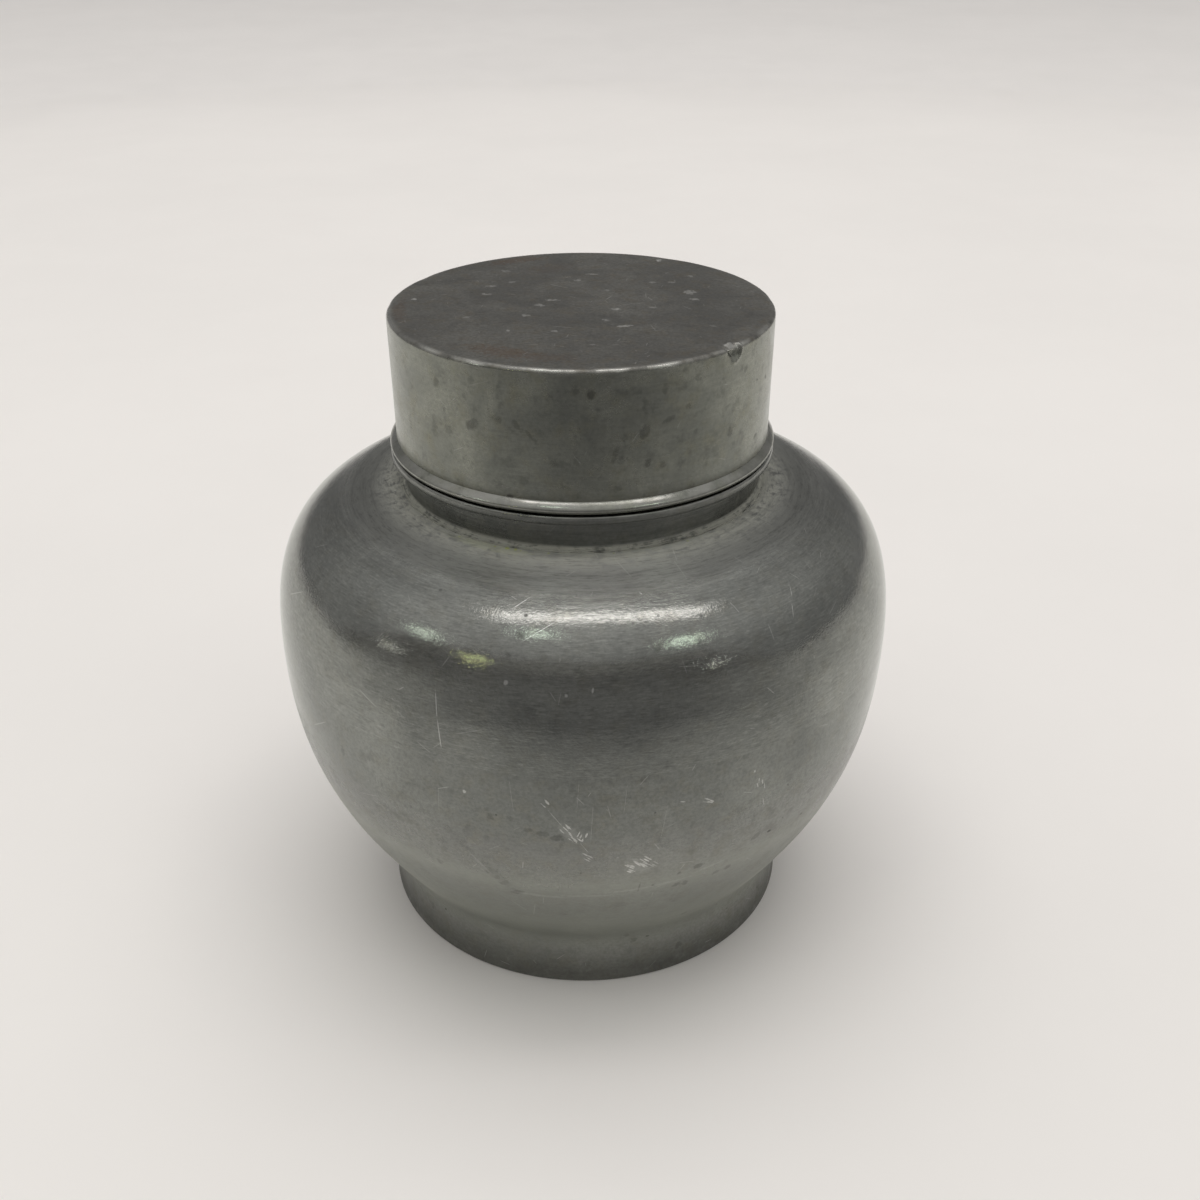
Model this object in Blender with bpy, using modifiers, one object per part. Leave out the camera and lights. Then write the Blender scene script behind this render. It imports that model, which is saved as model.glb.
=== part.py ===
# A turned pewter tea caddy: a bellied jar on a foot ring, an inner lid that plugs
# its mouth, and a tall outer lid that slides over the neck and rests on its collar.
# Every piece is turned about the Z axis. Sizes are in metres, the table is z = 0.

import bpy
from math import acos, cos, hypot, pi, radians, sin, tan

MM = 0.001

# Fits between pieces
SEAT_GAP = 0.3 * MM          # film left where one piece is seated on or soldered to another
LID_FIT = 0.3 * MM           # radial clearance of the outer lid on the mouth tube
PLUG_FIT = 0.3 * MM          # radial clearance of the inner lid's plug in the mouth

# Jar body
FOOT_RADIUS = 35.0 * MM
FOOT_HEIGHT = 7.8 * MM       # upright wall of the foot, below its fillet
FOOT_FILLET = 6.1 * MM       # hollow curve between the foot and the flank
FOOT_RING_WIDTH = 4.0 * MM   # flat ring that stands on the table
FOOT_EDGE = 0.4 * MM         # chamfer of the foot's lower outer edge
FLANK_LEAN = radians(35.4)   # lean of the flank from upright, where it leaves the fillet
FLANK_LOW_FULLNESS = 0.40    # pull of the flank's curve at the foot, as a share of its rise
FLANK_HIGH_FULLNESS = 0.42   # the same at the widest ring
BELLY_RADIUS = 50.3 * MM
BELLY_HEIGHT = 53.2 * MM     # the widest ring, where the two castings are joined
SHOULDER_RISE = 24.2 * MM    # from the widest ring up to the root of the neck
SHOULDER_FALL = radians(5.5)   # slope of the shoulder where it leaves the neck
SHOULDER_FULLNESS = 0.70     # pull of the shoulder's curve at the neck, as a share of its reach
BELLY_FULLNESS = 0.74        # the same at the widest ring, as a share of the shoulder's rise
WALL = 2.0 * MM              # thickness of the two castings
LAP_DEPTH = 4.0 * MM         # height of the rebate where the castings overlap
LAP_OUTER = 0.9 * MM         # thickness that the lower casting keeps outside the rebate

# Base plate, dropped into the foot from above
LEDGE_HEIGHT = 2.6 * MM
BASE_THICKNESS = 1.8 * MM

# Outer lid
LID_RADIUS = 29.4 * MM       # at its top edge
LID_TAPER = 0.2 * MM         # the lid's wall is this much narrower at its rim
LID_HEIGHT = 21.3 * MM
LID_WALL = 1.5 * MM          # at the rim
LID_TOP_THICKNESS = 1.6 * MM
LID_EDGE_ROUND = 0.7 * MM
BEAD_HEIGHT = 1.6 * MM       # half-round moulding round the rim of the lid
BEAD_PROUD = 1.1 * MM

# Neck collar with its mouth tube
NECK_HEIGHT = 6.0 * MM       # from the shoulder to the top of the collar's lip
LIP_PROUD = 1.0 * MM         # the lip stands out this much beyond the lid's wall
LIP_HEIGHT = 1.3 * MM
LIP_ROUND = 0.5 * MM
BAND_INSET = 1.9 * MM        # the band below the lip is this much narrower than the lip
ROOT_FLARE = 0.8 * MM        # hollow curve by which the band spreads over the shoulder
TUBE_WALL = 1.8 * MM
TUBE_EDGE = 0.4 * MM         # chamfer of the tube's upper outer edge
TENON_WALL = 1.1 * MM        # the tube's lower end, which passes through the shoulder
TENON_DROP = 2.4 * MM        # how far the tenon stands below the shoulder's underside
NECK_SEAT = 1.0 * MM         # width of the step that rests on the shoulder

# Inner lid
PLATE_THICKNESS = 1.6 * MM
PLATE_INSET = 0.4 * MM       # the plate is this much smaller than the tube it covers
PLATE_EDGE = 0.4 * MM
PLUG_DEPTH = 8.0 * MM
PLUG_WALL = 1.3 * MM
PLUG_LEAD = 0.5 * MM         # chamfer that leads the plug into the mouth
KNOB_HEIGHT = 6.8 * MM
KNOB_HEADROOM = 1.2 * MM     # left between the knob and the underside of the outer lid
KNOB_RADIUS = 5.4 * MM
KNOB_CAP_HEIGHT = 3.6 * MM
KNOB_WAIST_RADIUS = 2.7 * MM
KNOB_FOOT_RADIUS = 3.8 * MM
KNOB_FOOT_HEIGHT = 0.9 * MM
RIVET_RADIUS = 1.7 * MM      # shank of the knob, through the plate
RIVET_HEAD_RADIUS = 2.7 * MM
RIVET_HEAD_HEIGHT = 0.8 * MM

# Solder fillets
FILLET_LEG = 1.4 * MM

# Fineness of the turned surfaces
TURN_STEPS = 60
KNOB_STEPS = 36
CURVE_STEPS = 10             # along each long curve of a profile
ROUND_STEPS = 4              # along each small round
SMOOTH_UNDER = radians(30)   # edges sharper than this stay crisp
MERGE_UNDER = 0.01 * MM      # points closer than this are one

# Sizes that follow from the ones above
LID_RIM_RADIUS = LID_RADIUS - LID_TAPER
LID_BORE = LID_RIM_RADIUS - LID_WALL
BEAD_REBATE_RADIUS = (LID_BORE + LID_RIM_RADIUS) / 2   # the moulding is let into half the wall
TUBE_RADIUS = LID_BORE - LID_FIT
MOUTH_RADIUS = TUBE_RADIUS - TUBE_WALL
TENON_RADIUS = MOUTH_RADIUS + TENON_WALL
NECK_RADIUS = TENON_RADIUS + NECK_SEAT
LIP_RADIUS = LID_RIM_RADIUS + LIP_PROUD
BAND_RADIUS = LIP_RADIUS - BAND_INSET
FLARE_RADIUS = BAND_RADIUS + ROOT_FLARE
PLATE_RADIUS = TUBE_RADIUS - PLATE_INSET
PLUG_RADIUS = MOUTH_RADIUS - PLUG_FIT
FOOT_BORE = FOOT_RADIUS - WALL
BASE_RADIUS = FOOT_BORE - SEAT_GAP

# Heights above the table
NECK_ROOT_Z = BELLY_HEIGHT + SHOULDER_RISE
COLLAR_Z = NECK_ROOT_Z + SEAT_GAP
LID_RIM_Z = NECK_ROOT_Z + NECK_HEIGHT + SEAT_GAP
LID_TOP_Z = LID_RIM_Z + LID_HEIGHT
LID_CEILING_Z = LID_TOP_Z - LID_TOP_THICKNESS
KNOB_Z = LID_CEILING_Z - KNOB_HEADROOM - KNOB_HEIGHT
PLATE_Z = KNOB_Z - SEAT_GAP - PLATE_THICKNESS
MOUTH_Z = PLATE_Z - SEAT_GAP
BASE_Z = LEDGE_HEIGHT + SEAT_GAP


def arc(centre, across, up, first, last, steps=ROUND_STEPS):
    """Points on an upright ellipse, from one angle to another, counted from the outward direction."""
    angles = [first + (last - first) * i / steps for i in range(steps + 1)]
    return [(centre[0] + across * cos(a), centre[1] + up * sin(a)) for a in angles]


def curve(start, start_pull, end_pull, end, steps=CURVE_STEPS):
    """Points on a cubic curve between two ends, drawn by the pull at each."""
    points = []
    for i in range(steps + 1):
        t = i / steps
        weights = ((1 - t) ** 3, 3 * t * (1 - t) ** 2, 3 * t * t * (1 - t), t ** 3)
        corners = (start, start_pull, end_pull, end)
        points.append(tuple(sum(w * c[k] for w, c in zip(weights, corners)) for k in (0, 1)))
    return points


def inner_wall(outline, thickness):
    """An outline that runs down the outside, moved inwards by the thickness of the wall."""
    moved = []
    for i, (r, z) in enumerate(outline):
        before = outline[max(i - 1, 0)]
        after = outline[min(i + 1, len(outline) - 1)]
        run, fall = after[0] - before[0], after[1] - before[1]
        along = hypot(run, fall)
        moved.append((r + thickness * fall / along, z - thickness * run / along))
    return moved


def below(outline, height):
    """The stretch of a falling outline that lies below a height, cut there."""
    for i, ((r, z), (next_r, next_z)) in enumerate(zip(outline, outline[1:])):
        if z >= height > next_z:
            share = (z - height) / (z - next_z)
            return [(r + share * (next_r - r), height)] + outline[i + 1:]
    return outline


def remove_all():
    for old in list(bpy.data.objects):
        bpy.data.objects.remove(old, do_unlink=True)


def pewter(name, colour, roughness):
    material = bpy.data.materials.new(name)
    material.use_nodes = True
    shader = material.node_tree.nodes["Principled BSDF"]
    shader.inputs["Base Color"].default_value = (*colour, 1.0)
    shader.inputs["Metallic"].default_value = 1.0
    shader.inputs["Roughness"].default_value = roughness
    return material


def body_frame(name, collection, height):
    """An empty on the axis, which carries the pieces that move together."""
    frame = bpy.data.objects.new(name, None)
    frame.location.z = height
    collection.objects.link(frame)
    return frame


def turned(name, outline, frame, height, material, closed=True, steps=TURN_STEPS):
    """A piece turned from (radius, height) points, placed at a height above the table.

    A closed outline makes a ring. An open one starts and ends on the axis.
    """
    mesh = bpy.data.meshes.new(name)
    count = len(outline)
    edges = [(i, (i + 1) % count) for i in range(count if closed else count - 1)]
    mesh.from_pydata([(r, 0.0, z) for r, z in outline], edges, [])
    mesh.materials.append(material)
    piece = bpy.data.objects.new(name, mesh)
    frame.users_collection[0].objects.link(piece)
    piece.parent = frame
    piece.location.z = height - frame.location.z
    screw = piece.modifiers.new("Turn", "SCREW")
    screw.axis = "Z"
    screw.angle = 2 * pi
    screw.steps = steps
    screw.render_steps = steps
    screw.use_merge_vertices = True
    screw.merge_threshold = MERGE_UNDER
    bpy.context.view_layer.objects.active = piece
    bpy.ops.object.modifier_apply(modifier=screw.name)
    mesh.shade_smooth()
    mesh.set_sharp_from_angle(angle=SMOOTH_UNDER)
    return piece


def solder_ring(name, radius, frame, height, inward, upward):
    """A fillet of solder in the corner between a wall of this radius and a flat piece."""
    toe = radius - FILLET_LEG if inward else radius + FILLET_LEG
    tip = FILLET_LEG if upward else -FILLET_LEG
    corner, on_flat, on_wall = (radius, 0.0), (toe, 0.0), (radius, tip)
    outline = [on_wall, corner, on_flat] if inward == upward else [on_flat, corner, on_wall]
    turned(name, outline, frame, height, pewter(name, (0.46, 0.46, 0.44), 0.5))


def belly_shell(frame):
    """The lower casting: foot ring, flank and the lower half of the lap."""
    rim_z = BELLY_HEIGHT - SEAT_GAP
    rebate_z = BELLY_HEIGHT - LAP_DEPTH - SEAT_GAP
    rebate_radius = BELLY_RADIUS - LAP_OUTER
    fillet_centre = (FOOT_RADIUS + FOOT_FILLET, FOOT_HEIGHT)
    fillet = arc(fillet_centre, FOOT_FILLET, FOOT_FILLET, pi - FLANK_LEAN, pi)
    flank_r, flank_z = fillet[0]
    rise = rim_z - flank_z
    pull = FLANK_LOW_FULLNESS * rise
    low_pull = (flank_r + pull * sin(FLANK_LEAN), flank_z + pull * cos(FLANK_LEAN))
    high_pull = (BELLY_RADIUS, rim_z - FLANK_HIGH_FULLNESS * rise)
    outside = curve((BELLY_RADIUS, rim_z), high_pull, low_pull, fillet[0]) + fillet[1:]
    inside = below(inner_wall(outside, WALL), rebate_z)
    foot = [
        (FOOT_RADIUS, FOOT_EDGE),
        (FOOT_RADIUS - FOOT_EDGE, 0.0),
        (FOOT_RADIUS - FOOT_RING_WIDTH, 0.0),
        (FOOT_RADIUS - FOOT_RING_WIDTH, LEDGE_HEIGHT),
        (FOOT_BORE, LEDGE_HEIGHT),
    ]
    lap = [(rebate_radius, rebate_z), (rebate_radius, rim_z)]
    outline = outside + foot + inside[::-1] + lap
    turned("belly_shell", outline, frame, 0.0, pewter("belly pewter", (0.33, 0.33, 0.31), 0.34))


def shoulder_shell(frame):
    """The upper casting: shoulder, the seat of the neck and the upper half of the lap."""
    reach = SHOULDER_FULLNESS * (BELLY_RADIUS - NECK_RADIUS)
    neck_pull = (NECK_RADIUS + reach * cos(SHOULDER_FALL), SHOULDER_RISE - reach * sin(SHOULDER_FALL))
    belly_pull = (BELLY_RADIUS, BELLY_FULLNESS * SHOULDER_RISE)
    outside = curve((NECK_RADIUS, SHOULDER_RISE), neck_pull, belly_pull, (BELLY_RADIUS, 0.0))
    inside = inner_wall(outside, WALL)
    hole_radius = TENON_RADIUS + SEAT_GAP
    lap_radius = BELLY_RADIUS - LAP_OUTER - SEAT_GAP
    lap = [
        (lap_radius, 0.0),
        (lap_radius, -LAP_DEPTH),
        (BELLY_RADIUS - WALL, -LAP_DEPTH),
    ]
    hole = [(hole_radius, inside[0][1]), (hole_radius, SHOULDER_RISE)]
    outline = outside + lap + inside[::-1] + hole
    material = pewter("shoulder pewter", (0.35, 0.35, 0.33), 0.3)
    turned("shoulder_shell", outline, frame, BELLY_HEIGHT, material)


def base_plate(frame):
    """The disc that closes the foot, on the ledge inside it."""
    outline = [
        (0.0, BASE_THICKNESS),
        (BASE_RADIUS, BASE_THICKNESS),
        (BASE_RADIUS, 0.0),
        (0.0, 0.0),
    ]
    material = pewter("base pewter", (0.36, 0.36, 0.34), 0.45)
    turned("base_plate", outline, frame, BASE_Z, material, closed=False)
    floor_z = BASE_Z + BASE_THICKNESS
    solder_ring("base_solder", BASE_RADIUS, frame, floor_z + SEAT_GAP, inward=True, upward=True)


def neck_collar(frame):
    """The neck's visible band and lip, the mouth tube above and the tenon below, in one casting."""
    tube_top = MOUTH_Z - COLLAR_Z
    lip_top = NECK_HEIGHT - SEAT_GAP
    tenon_end = -(SEAT_GAP + WALL + TENON_DROP)
    lip_centre = (LIP_RADIUS - LIP_ROUND, lip_top - LIP_ROUND)
    lip = arc(lip_centre, LIP_ROUND, LIP_ROUND, pi / 2, 0.0)
    flare = arc((FLARE_RADIUS, ROOT_FLARE), ROOT_FLARE, ROOT_FLARE, pi, 1.5 * pi)
    flare_drop = (FLARE_RADIUS - NECK_RADIUS) * tan(SHOULDER_FALL)
    outline = [
        (TUBE_RADIUS - TUBE_EDGE, tube_top),
        (TUBE_RADIUS, tube_top - TUBE_EDGE),
        (TUBE_RADIUS, lip_top),
        *lip,
        (LIP_RADIUS, lip_top - LIP_HEIGHT),
        (BAND_RADIUS, lip_top - LIP_HEIGHT),
        *flare,
        (FLARE_RADIUS, -flare_drop),
        (NECK_RADIUS, 0.0),
        (TENON_RADIUS, 0.0),
        (TENON_RADIUS, tenon_end),
        (MOUTH_RADIUS, tenon_end),
        (MOUTH_RADIUS, tube_top),
    ]
    turned("neck_collar", outline, frame, COLLAR_Z, pewter("neck pewter", (0.4, 0.4, 0.38), 0.3))
    solder_z = NECK_ROOT_Z - WALL - 2 * SEAT_GAP
    solder_ring("neck_solder", TENON_RADIUS + SEAT_GAP, frame, solder_z, inward=False, upward=False)


def inner_lid(frame):
    """A plate over the mouth, its plug, and a knob riveted through the plate."""
    hole_radius = RIVET_RADIUS + SEAT_GAP
    plate = [
        (PLATE_RADIUS - PLATE_EDGE, PLATE_THICKNESS),
        (PLATE_RADIUS, PLATE_THICKNESS - PLATE_EDGE),
        (PLATE_RADIUS, 0.0),
        (hole_radius, 0.0),
        (hole_radius, PLATE_THICKNESS),
    ]
    turned("inner_lid_plate", plate, frame, PLATE_Z, pewter("inner lid pewter", (0.44, 0.44, 0.42), 0.3))
    plug_bore = PLUG_RADIUS - PLUG_WALL
    plug = [
        (PLUG_RADIUS, 0.0),
        (PLUG_RADIUS, PLUG_LEAD - PLUG_DEPTH),
        (PLUG_RADIUS - PLUG_LEAD, -PLUG_DEPTH),
        (plug_bore, -PLUG_DEPTH),
        (plug_bore, 0.0),
    ]
    turned("inner_lid_plug", plug, frame, MOUTH_Z, pewter("plug pewter", (0.44, 0.44, 0.42), 0.32))
    solder_ring("plug_solder", plug_bore - SEAT_GAP, frame, MOUTH_Z, inward=True, upward=False)
    material = pewter("knob pewter", (0.45, 0.45, 0.43), 0.26)
    turned("inner_lid_knob", knob_outline(), frame, KNOB_Z, material, closed=False, steps=KNOB_STEPS)


def knob_outline():
    """A mushroom cap on a flared waist, then the shank and its spread head under the plate."""
    cap_centre = (0.0, KNOB_HEIGHT - KNOB_CAP_HEIGHT / 2)
    cap_end = -acos(KNOB_WAIST_RADIUS / KNOB_RADIUS)
    cap = arc(cap_centre, KNOB_RADIUS, KNOB_CAP_HEIGHT / 2, pi / 2, cap_end, 2 * ROUND_STEPS)
    waist_foot = (KNOB_WAIST_RADIUS, KNOB_FOOT_HEIGHT)
    waist = curve(cap[-1], waist_foot, waist_foot, (KNOB_FOOT_RADIUS, KNOB_FOOT_HEIGHT), ROUND_STEPS)
    shank_end = -(PLATE_THICKNESS + 2 * SEAT_GAP)
    head_end = shank_end - RIVET_HEAD_HEIGHT
    rivet = [
        (KNOB_FOOT_RADIUS, 0.0),
        (RIVET_RADIUS, 0.0),
        (RIVET_RADIUS, shank_end),
        (RIVET_HEAD_RADIUS, shank_end),
        (RIVET_HEAD_RADIUS, head_end),
        (0.0, head_end),
    ]
    return [(0.0, KNOB_HEIGHT)] + cap[1:] + waist[1:] + rivet


def outer_lid(frame):
    """A tapering skirt, a half-round moulding let into its rim, and a flat top soldered on."""
    skirt_top = LID_HEIGHT - LID_TOP_THICKNESS - SEAT_GAP
    rebate_top = BEAD_HEIGHT + SEAT_GAP
    skirt = [
        (LID_RADIUS, skirt_top),
        (LID_RIM_RADIUS, rebate_top),
        (BEAD_REBATE_RADIUS, rebate_top),
        (BEAD_REBATE_RADIUS, 0.0),
        (LID_BORE, 0.0),
        (LID_BORE, skirt_top),
    ]
    turned("lid_skirt", skirt, frame, LID_RIM_Z, pewter("lid pewter", (0.32, 0.32, 0.3), 0.36))
    half_bead = BEAD_HEIGHT / 2
    bead = arc((LID_RIM_RADIUS, half_bead), BEAD_PROUD, half_bead, pi / 2, -pi / 2, 2 * ROUND_STEPS)
    bead_bore = BEAD_REBATE_RADIUS + SEAT_GAP
    bead += [(bead_bore, 0.0), (bead_bore, BEAD_HEIGHT)]
    turned("lid_bead", bead, frame, LID_RIM_Z, pewter("bead pewter", (0.36, 0.36, 0.34), 0.3))
    edge_centre = (LID_RADIUS - LID_EDGE_ROUND, LID_TOP_THICKNESS - LID_EDGE_ROUND)
    edge = arc(edge_centre, LID_EDGE_ROUND, LID_EDGE_ROUND, pi / 2, 0.0)
    top = [(0.0, LID_TOP_THICKNESS), *edge, (LID_RADIUS, 0.0), (0.0, 0.0)]
    material = pewter("lid top pewter", (0.3, 0.3, 0.28), 0.38)
    turned("lid_top", top, frame, LID_CEILING_Z, material, closed=False)
    solder_z = LID_CEILING_Z - SEAT_GAP
    solder_ring("lid_solder", LID_BORE - SEAT_GAP, frame, solder_z, inward=True, upward=False)


def main():
    remove_all()
    collection = bpy.data.collections.new("pewter_tea_caddy")
    bpy.context.scene.collection.children.link(collection)
    jar_frame = body_frame("jar_frame", collection, 0.0)
    belly_shell(jar_frame)
    shoulder_shell(jar_frame)
    base_plate(jar_frame)
    neck_collar(jar_frame)
    inner_lid(body_frame("inner_lid_frame", collection, MOUTH_Z))
    outer_lid(body_frame("lid_frame", collection, LID_RIM_Z))


main()
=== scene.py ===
from types import SimpleNamespace

import bpy
import numpy as np
from mathutils import Matrix, Vector


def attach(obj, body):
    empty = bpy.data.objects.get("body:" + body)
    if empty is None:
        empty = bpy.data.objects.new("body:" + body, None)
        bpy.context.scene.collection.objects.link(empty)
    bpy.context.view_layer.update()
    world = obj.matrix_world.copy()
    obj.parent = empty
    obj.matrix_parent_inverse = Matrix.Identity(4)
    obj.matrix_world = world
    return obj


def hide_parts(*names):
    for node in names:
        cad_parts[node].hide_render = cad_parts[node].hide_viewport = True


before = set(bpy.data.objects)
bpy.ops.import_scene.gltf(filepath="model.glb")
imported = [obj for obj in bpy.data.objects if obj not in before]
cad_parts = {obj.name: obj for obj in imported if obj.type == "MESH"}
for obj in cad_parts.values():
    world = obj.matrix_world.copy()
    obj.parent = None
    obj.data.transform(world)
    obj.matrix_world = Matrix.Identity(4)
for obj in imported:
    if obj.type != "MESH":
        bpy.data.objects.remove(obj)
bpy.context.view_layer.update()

# Profiles are (radius, height) in millimetres. They run down a piece's outside, inwards
# under it, up its inside and out over its top, so that the turned faces look outwards.
mm = 0.001
fullTurn = 2 * np.pi
tiny = 1e-6
sharpCosine = 0.75  # two legs of a profile that turn further than this make a corner
smoothAngle = 38  # faces that meet at more degrees than this keep a sharp edge


# a piece's settings dictionary, its values read as names
def named(form):
    return SimpleNamespace(**form)


# straight runs through the given corners, with points no further apart than the spacing
def runThrough(corners, spacing):
    corners = np.array(corners, float)
    legs = np.hypot(*np.diff(corners, axis=0).T)
    cuts = [np.linspace(0, 1, max(int(np.ceil(leg / spacing)), 1), endpoint=False) for leg in legs]
    runs = [start + (end - start) * t[:, None] for start, end, t in zip(corners[:-1], corners[1:], cuts)]
    return np.vstack(runs + [corners[-1:]])


# an upright run: one radius, from the first height to the last
def uprightRun(radius, first, last, spacing):
    return runThrough([(radius, first), (radius, last)], spacing)


# a level run: one height, from the first radius to the last
def levelRun(height, first, last, spacing):
    return runThrough([(first, height), (last, height)], spacing)


# cubic curve: the start, the end and two pulls weighted by (1-t)^3, t^3, 3t(1-t)^2 and 3t^2(1-t)
def pulledCurve(start, startPull, endPull, end, count):
    t = np.linspace(0, 1, count)[:, None]
    start, startPull, endPull, end = (np.array(p, float) for p in (start, startPull, endPull, end))
    return ((1 - t)**3 * start + 3 * t * (1 - t)**2 * startPull
            + 3 * t**2 * (1 - t) * endPull + t**3 * end)


# part of an ellipse: centre plus (across * cos a, up * sin a), a in degrees from the outward side
def roundOff(centre, across, up, first, last, count):
    a = np.radians(np.linspace(first, last, count))
    return np.column_stack((centre[0] + across * np.cos(a), centre[1] + up * np.sin(a)))


# a rounded corner: a quarter circle whose centre lies one size in from the corner on both axes
def rounded(radius, height, size, first, last, count):
    middle = np.radians((first + last) / 2)
    centre = (radius - size * np.sign(np.cos(middle)), height - size * np.sign(np.sin(middle)))
    return roundOff(centre, size, size, first, last, count)


# each row divided by its length
def unit(rows):
    return rows / np.maximum(np.hypot(*rows.T), 1e-9)[:, None]


# the way out of the surface at each profile point: the legs on its two sides, each turned a quarter
# and averaged, but at a sharp corner only the leg that faces further from the axis
def outwardOf(profile):
    legs = np.diff(profile, axis=0)
    out = unit(np.column_stack((-legs[:, 1], legs[:, 0])))
    before = np.vstack((out[:1], out))
    after = np.vstack((out, out[-1:]))
    sharp = np.sum(before * after, axis=1) < sharpCosine
    further = np.where(before[:, :1] > after[:, :1], before, after)
    return np.where(sharp[:, None], further, unit(before + after))


# a flowing line: the profile with points one spacing apart, each averaged with its neighbours by a bell
# curve of the given reach, and both ends held where they were
def flowing(profile, spacing, reach):
    total = walked(profile)
    steps = np.linspace(0, total[-1], int(total[-1] / spacing) + 1)
    even = np.column_stack([np.interp(steps, total, column) for column in profile.T])
    weights = bell(steps[:, None] - steps[None, :], reach)
    smooth = weights @ even / weights.sum(axis=1)[:, None]
    hold = ease(np.minimum(steps, steps[-1] - steps), 0, 2.5 * reach)[:, None]
    return even + (smooth - even) * hold


# a second wall: every point of the profile moved inwards by the thickness
def innerWall(profile, thickness):
    return profile - thickness * outwardOf(profile)


# distance walked down the profile to each of its points
def walked(profile):
    return np.concatenate(([0], np.cumsum(np.hypot(*np.diff(profile, axis=0).T))))


# true on a profile's first rows, which are its outside
def firstRows(profile, count):
    return np.arange(len(profile)) < count


# bell curve: 1 at the middle and 1/e at one reach away
def bell(distance, reach):
    return np.exp(-(distance / reach)**2)


# smooth step from 0 at low to 1 at high: 3t^2 - 2t^3
def ease(value, low, high):
    t = np.clip((value - low) / (high - low), 0, 1)
    return t * t * (3 - 2 * t)


# signed angle from one bearing to another, wrapped into half a turn either way
def bearingFrom(angle, degrees):
    return (angle - np.radians(degrees) + np.pi) % fullTurn - np.pi


# waviness round the axis and down the profile: a sum of a few seeded cosines, between -1 and 1
def waviness(angle, along, seed, turns, lengths):
    dice = np.random.default_rng(seed)
    total = np.zeros(np.broadcast(angle, along).shape)
    for count, length in zip(turns, lengths):
        shift = dice.uniform(0, fullTurn, 2)
        total = total + np.cos(count * angle + shift[0]) * np.cos(fullTurn * along / length + shift[1])
    return total / len(turns)


# tool rings: seeded values one pitch apart with straight lines between them, one for each row
def toolRings(along, seed, pitch):
    dice = np.random.default_rng(seed)
    knots = np.arange(along.min() - 4 * pitch, along.max() + 5 * pitch, pitch)
    return np.interp(along, knots, dice.uniform(-1, 1, len(knots)))


# turned piece: x = radius * sin(angle), y = -radius * cos(angle), z = height, angle 0 towards the
# camera and growing to its right; lift(angle, profile, along) moves points out of the surface in mm,
# each traits array becomes a point attribute that the finishes read, and crowd holds extra angles
def turnedPiece(name, profile, steps, lift=None, traits=None, alongFrom=0.0, closed=True, crowd=()):
    angle = np.linspace(0, fullTurn, steps - len(crowd), endpoint=False)
    angle = np.unique(np.round(np.concatenate((angle, np.asarray(crowd, float) % fullTurn)), 7))
    steps = len(angle)
    along = walked(profile) + alongFrom
    rows = len(profile)
    radius = np.repeat(profile[:, :1], steps, axis=1)
    height = np.repeat(profile[:, 1:], steps, axis=1)
    if lift is not None:
        out = outwardOf(profile)
        push = lift(angle[None, :], profile, along[:, None])
        radius = radius + push * out[:, :1]
        height = height + push * out[:, 1:]
    points = np.stack((radius * np.sin(angle), -radius * np.cos(angle), height), axis=-1) * mm

    # rows that lie on the axis shrink to one point each
    onAxis = profile[:, 0] < tiny
    sizes = np.where(onAxis, 1, steps)
    firsts = np.concatenate(([0], np.cumsum(sizes)[:-1]))
    index = firsts[:, None] + np.where(onAxis[:, None], 0, np.arange(steps)[None, :])
    keep = np.where(onAxis[:, None], np.arange(steps)[None, :] == 0, True)
    upper = np.arange(rows if closed else rows - 1)
    lower = (upper + 1) % rows
    above, below = index[upper], index[lower]
    quads = np.stack((above, below, np.roll(below, -1, axis=1), np.roll(above, -1, axis=1)), axis=-1)
    fromPole, toPole = onAxis[upper], onAxis[lower]
    faces = quads[~fromPole & ~toPole].reshape(-1, 4).tolist()
    faces += quads[fromPole & ~toPole][..., [0, 1, 2]].reshape(-1, 3).tolist()
    faces += quads[~fromPole & toPole][..., [0, 1, 3]].reshape(-1, 3).tolist()

    piece = meshPiece(name, points[keep], faces)
    piece.data.set_sharp_from_angle(angle=np.radians(smoothAngle))
    given = {"along": along, "wear": 0.0, "grime": 0.0, "ringed": 1.0, "matt": 0.0, "pale": 0.0, "dust": 0.0}
    given.update(traits(profile, along) if traits else {})
    for title, values in given.items():
        spread = np.broadcast_to(np.reshape(values, (-1, 1)), (rows, steps))
        pointTrait(piece, title, spread[keep])
    return piece


# a smooth-shaded mesh object at the origin
def meshPiece(name, points, faces):
    mesh = bpy.data.meshes.new(name)
    mesh.from_pydata(points.tolist(), [], faces)
    mesh.shade_smooth()
    piece = bpy.data.objects.new(name, mesh)
    bpy.context.scene.collection.objects.link(piece)
    return piece


# one number for each point of the mesh, under the name that a finish reads
def pointTrait(piece, title, values):
    layer = piece.data.attributes.new(title, "FLOAT", "POINT")
    layer.data.foreach_set("value", values.astype(np.float32))


# puts a finished piece on its body, in the place of its node
def settle(piece, body, node, finish):
    piece.data.materials.append(finish)
    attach(piece, body)
    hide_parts(node)
    print("made", piece.name, "for", node, "with", len(piece.data.polygons), "faces")


# Nodes: a value is linked if it is a socket and set if it is a number
def feed(socket, value):
    if isinstance(value, bpy.types.NodeSocket):
        socket.id_data.links.new(value, socket)
    elif value is not None:
        socket.default_value = value


# a new node in the tree of the first socket among its values, which go into its first inputs in order
def newNode(kind, *values):
    tree = next(value.id_data for value in values if isinstance(value, bpy.types.NodeSocket))
    node = tree.nodes.new("ShaderNode" + kind)
    for socket, value in zip(node.inputs, values):
        feed(socket, value)
    return node


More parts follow.
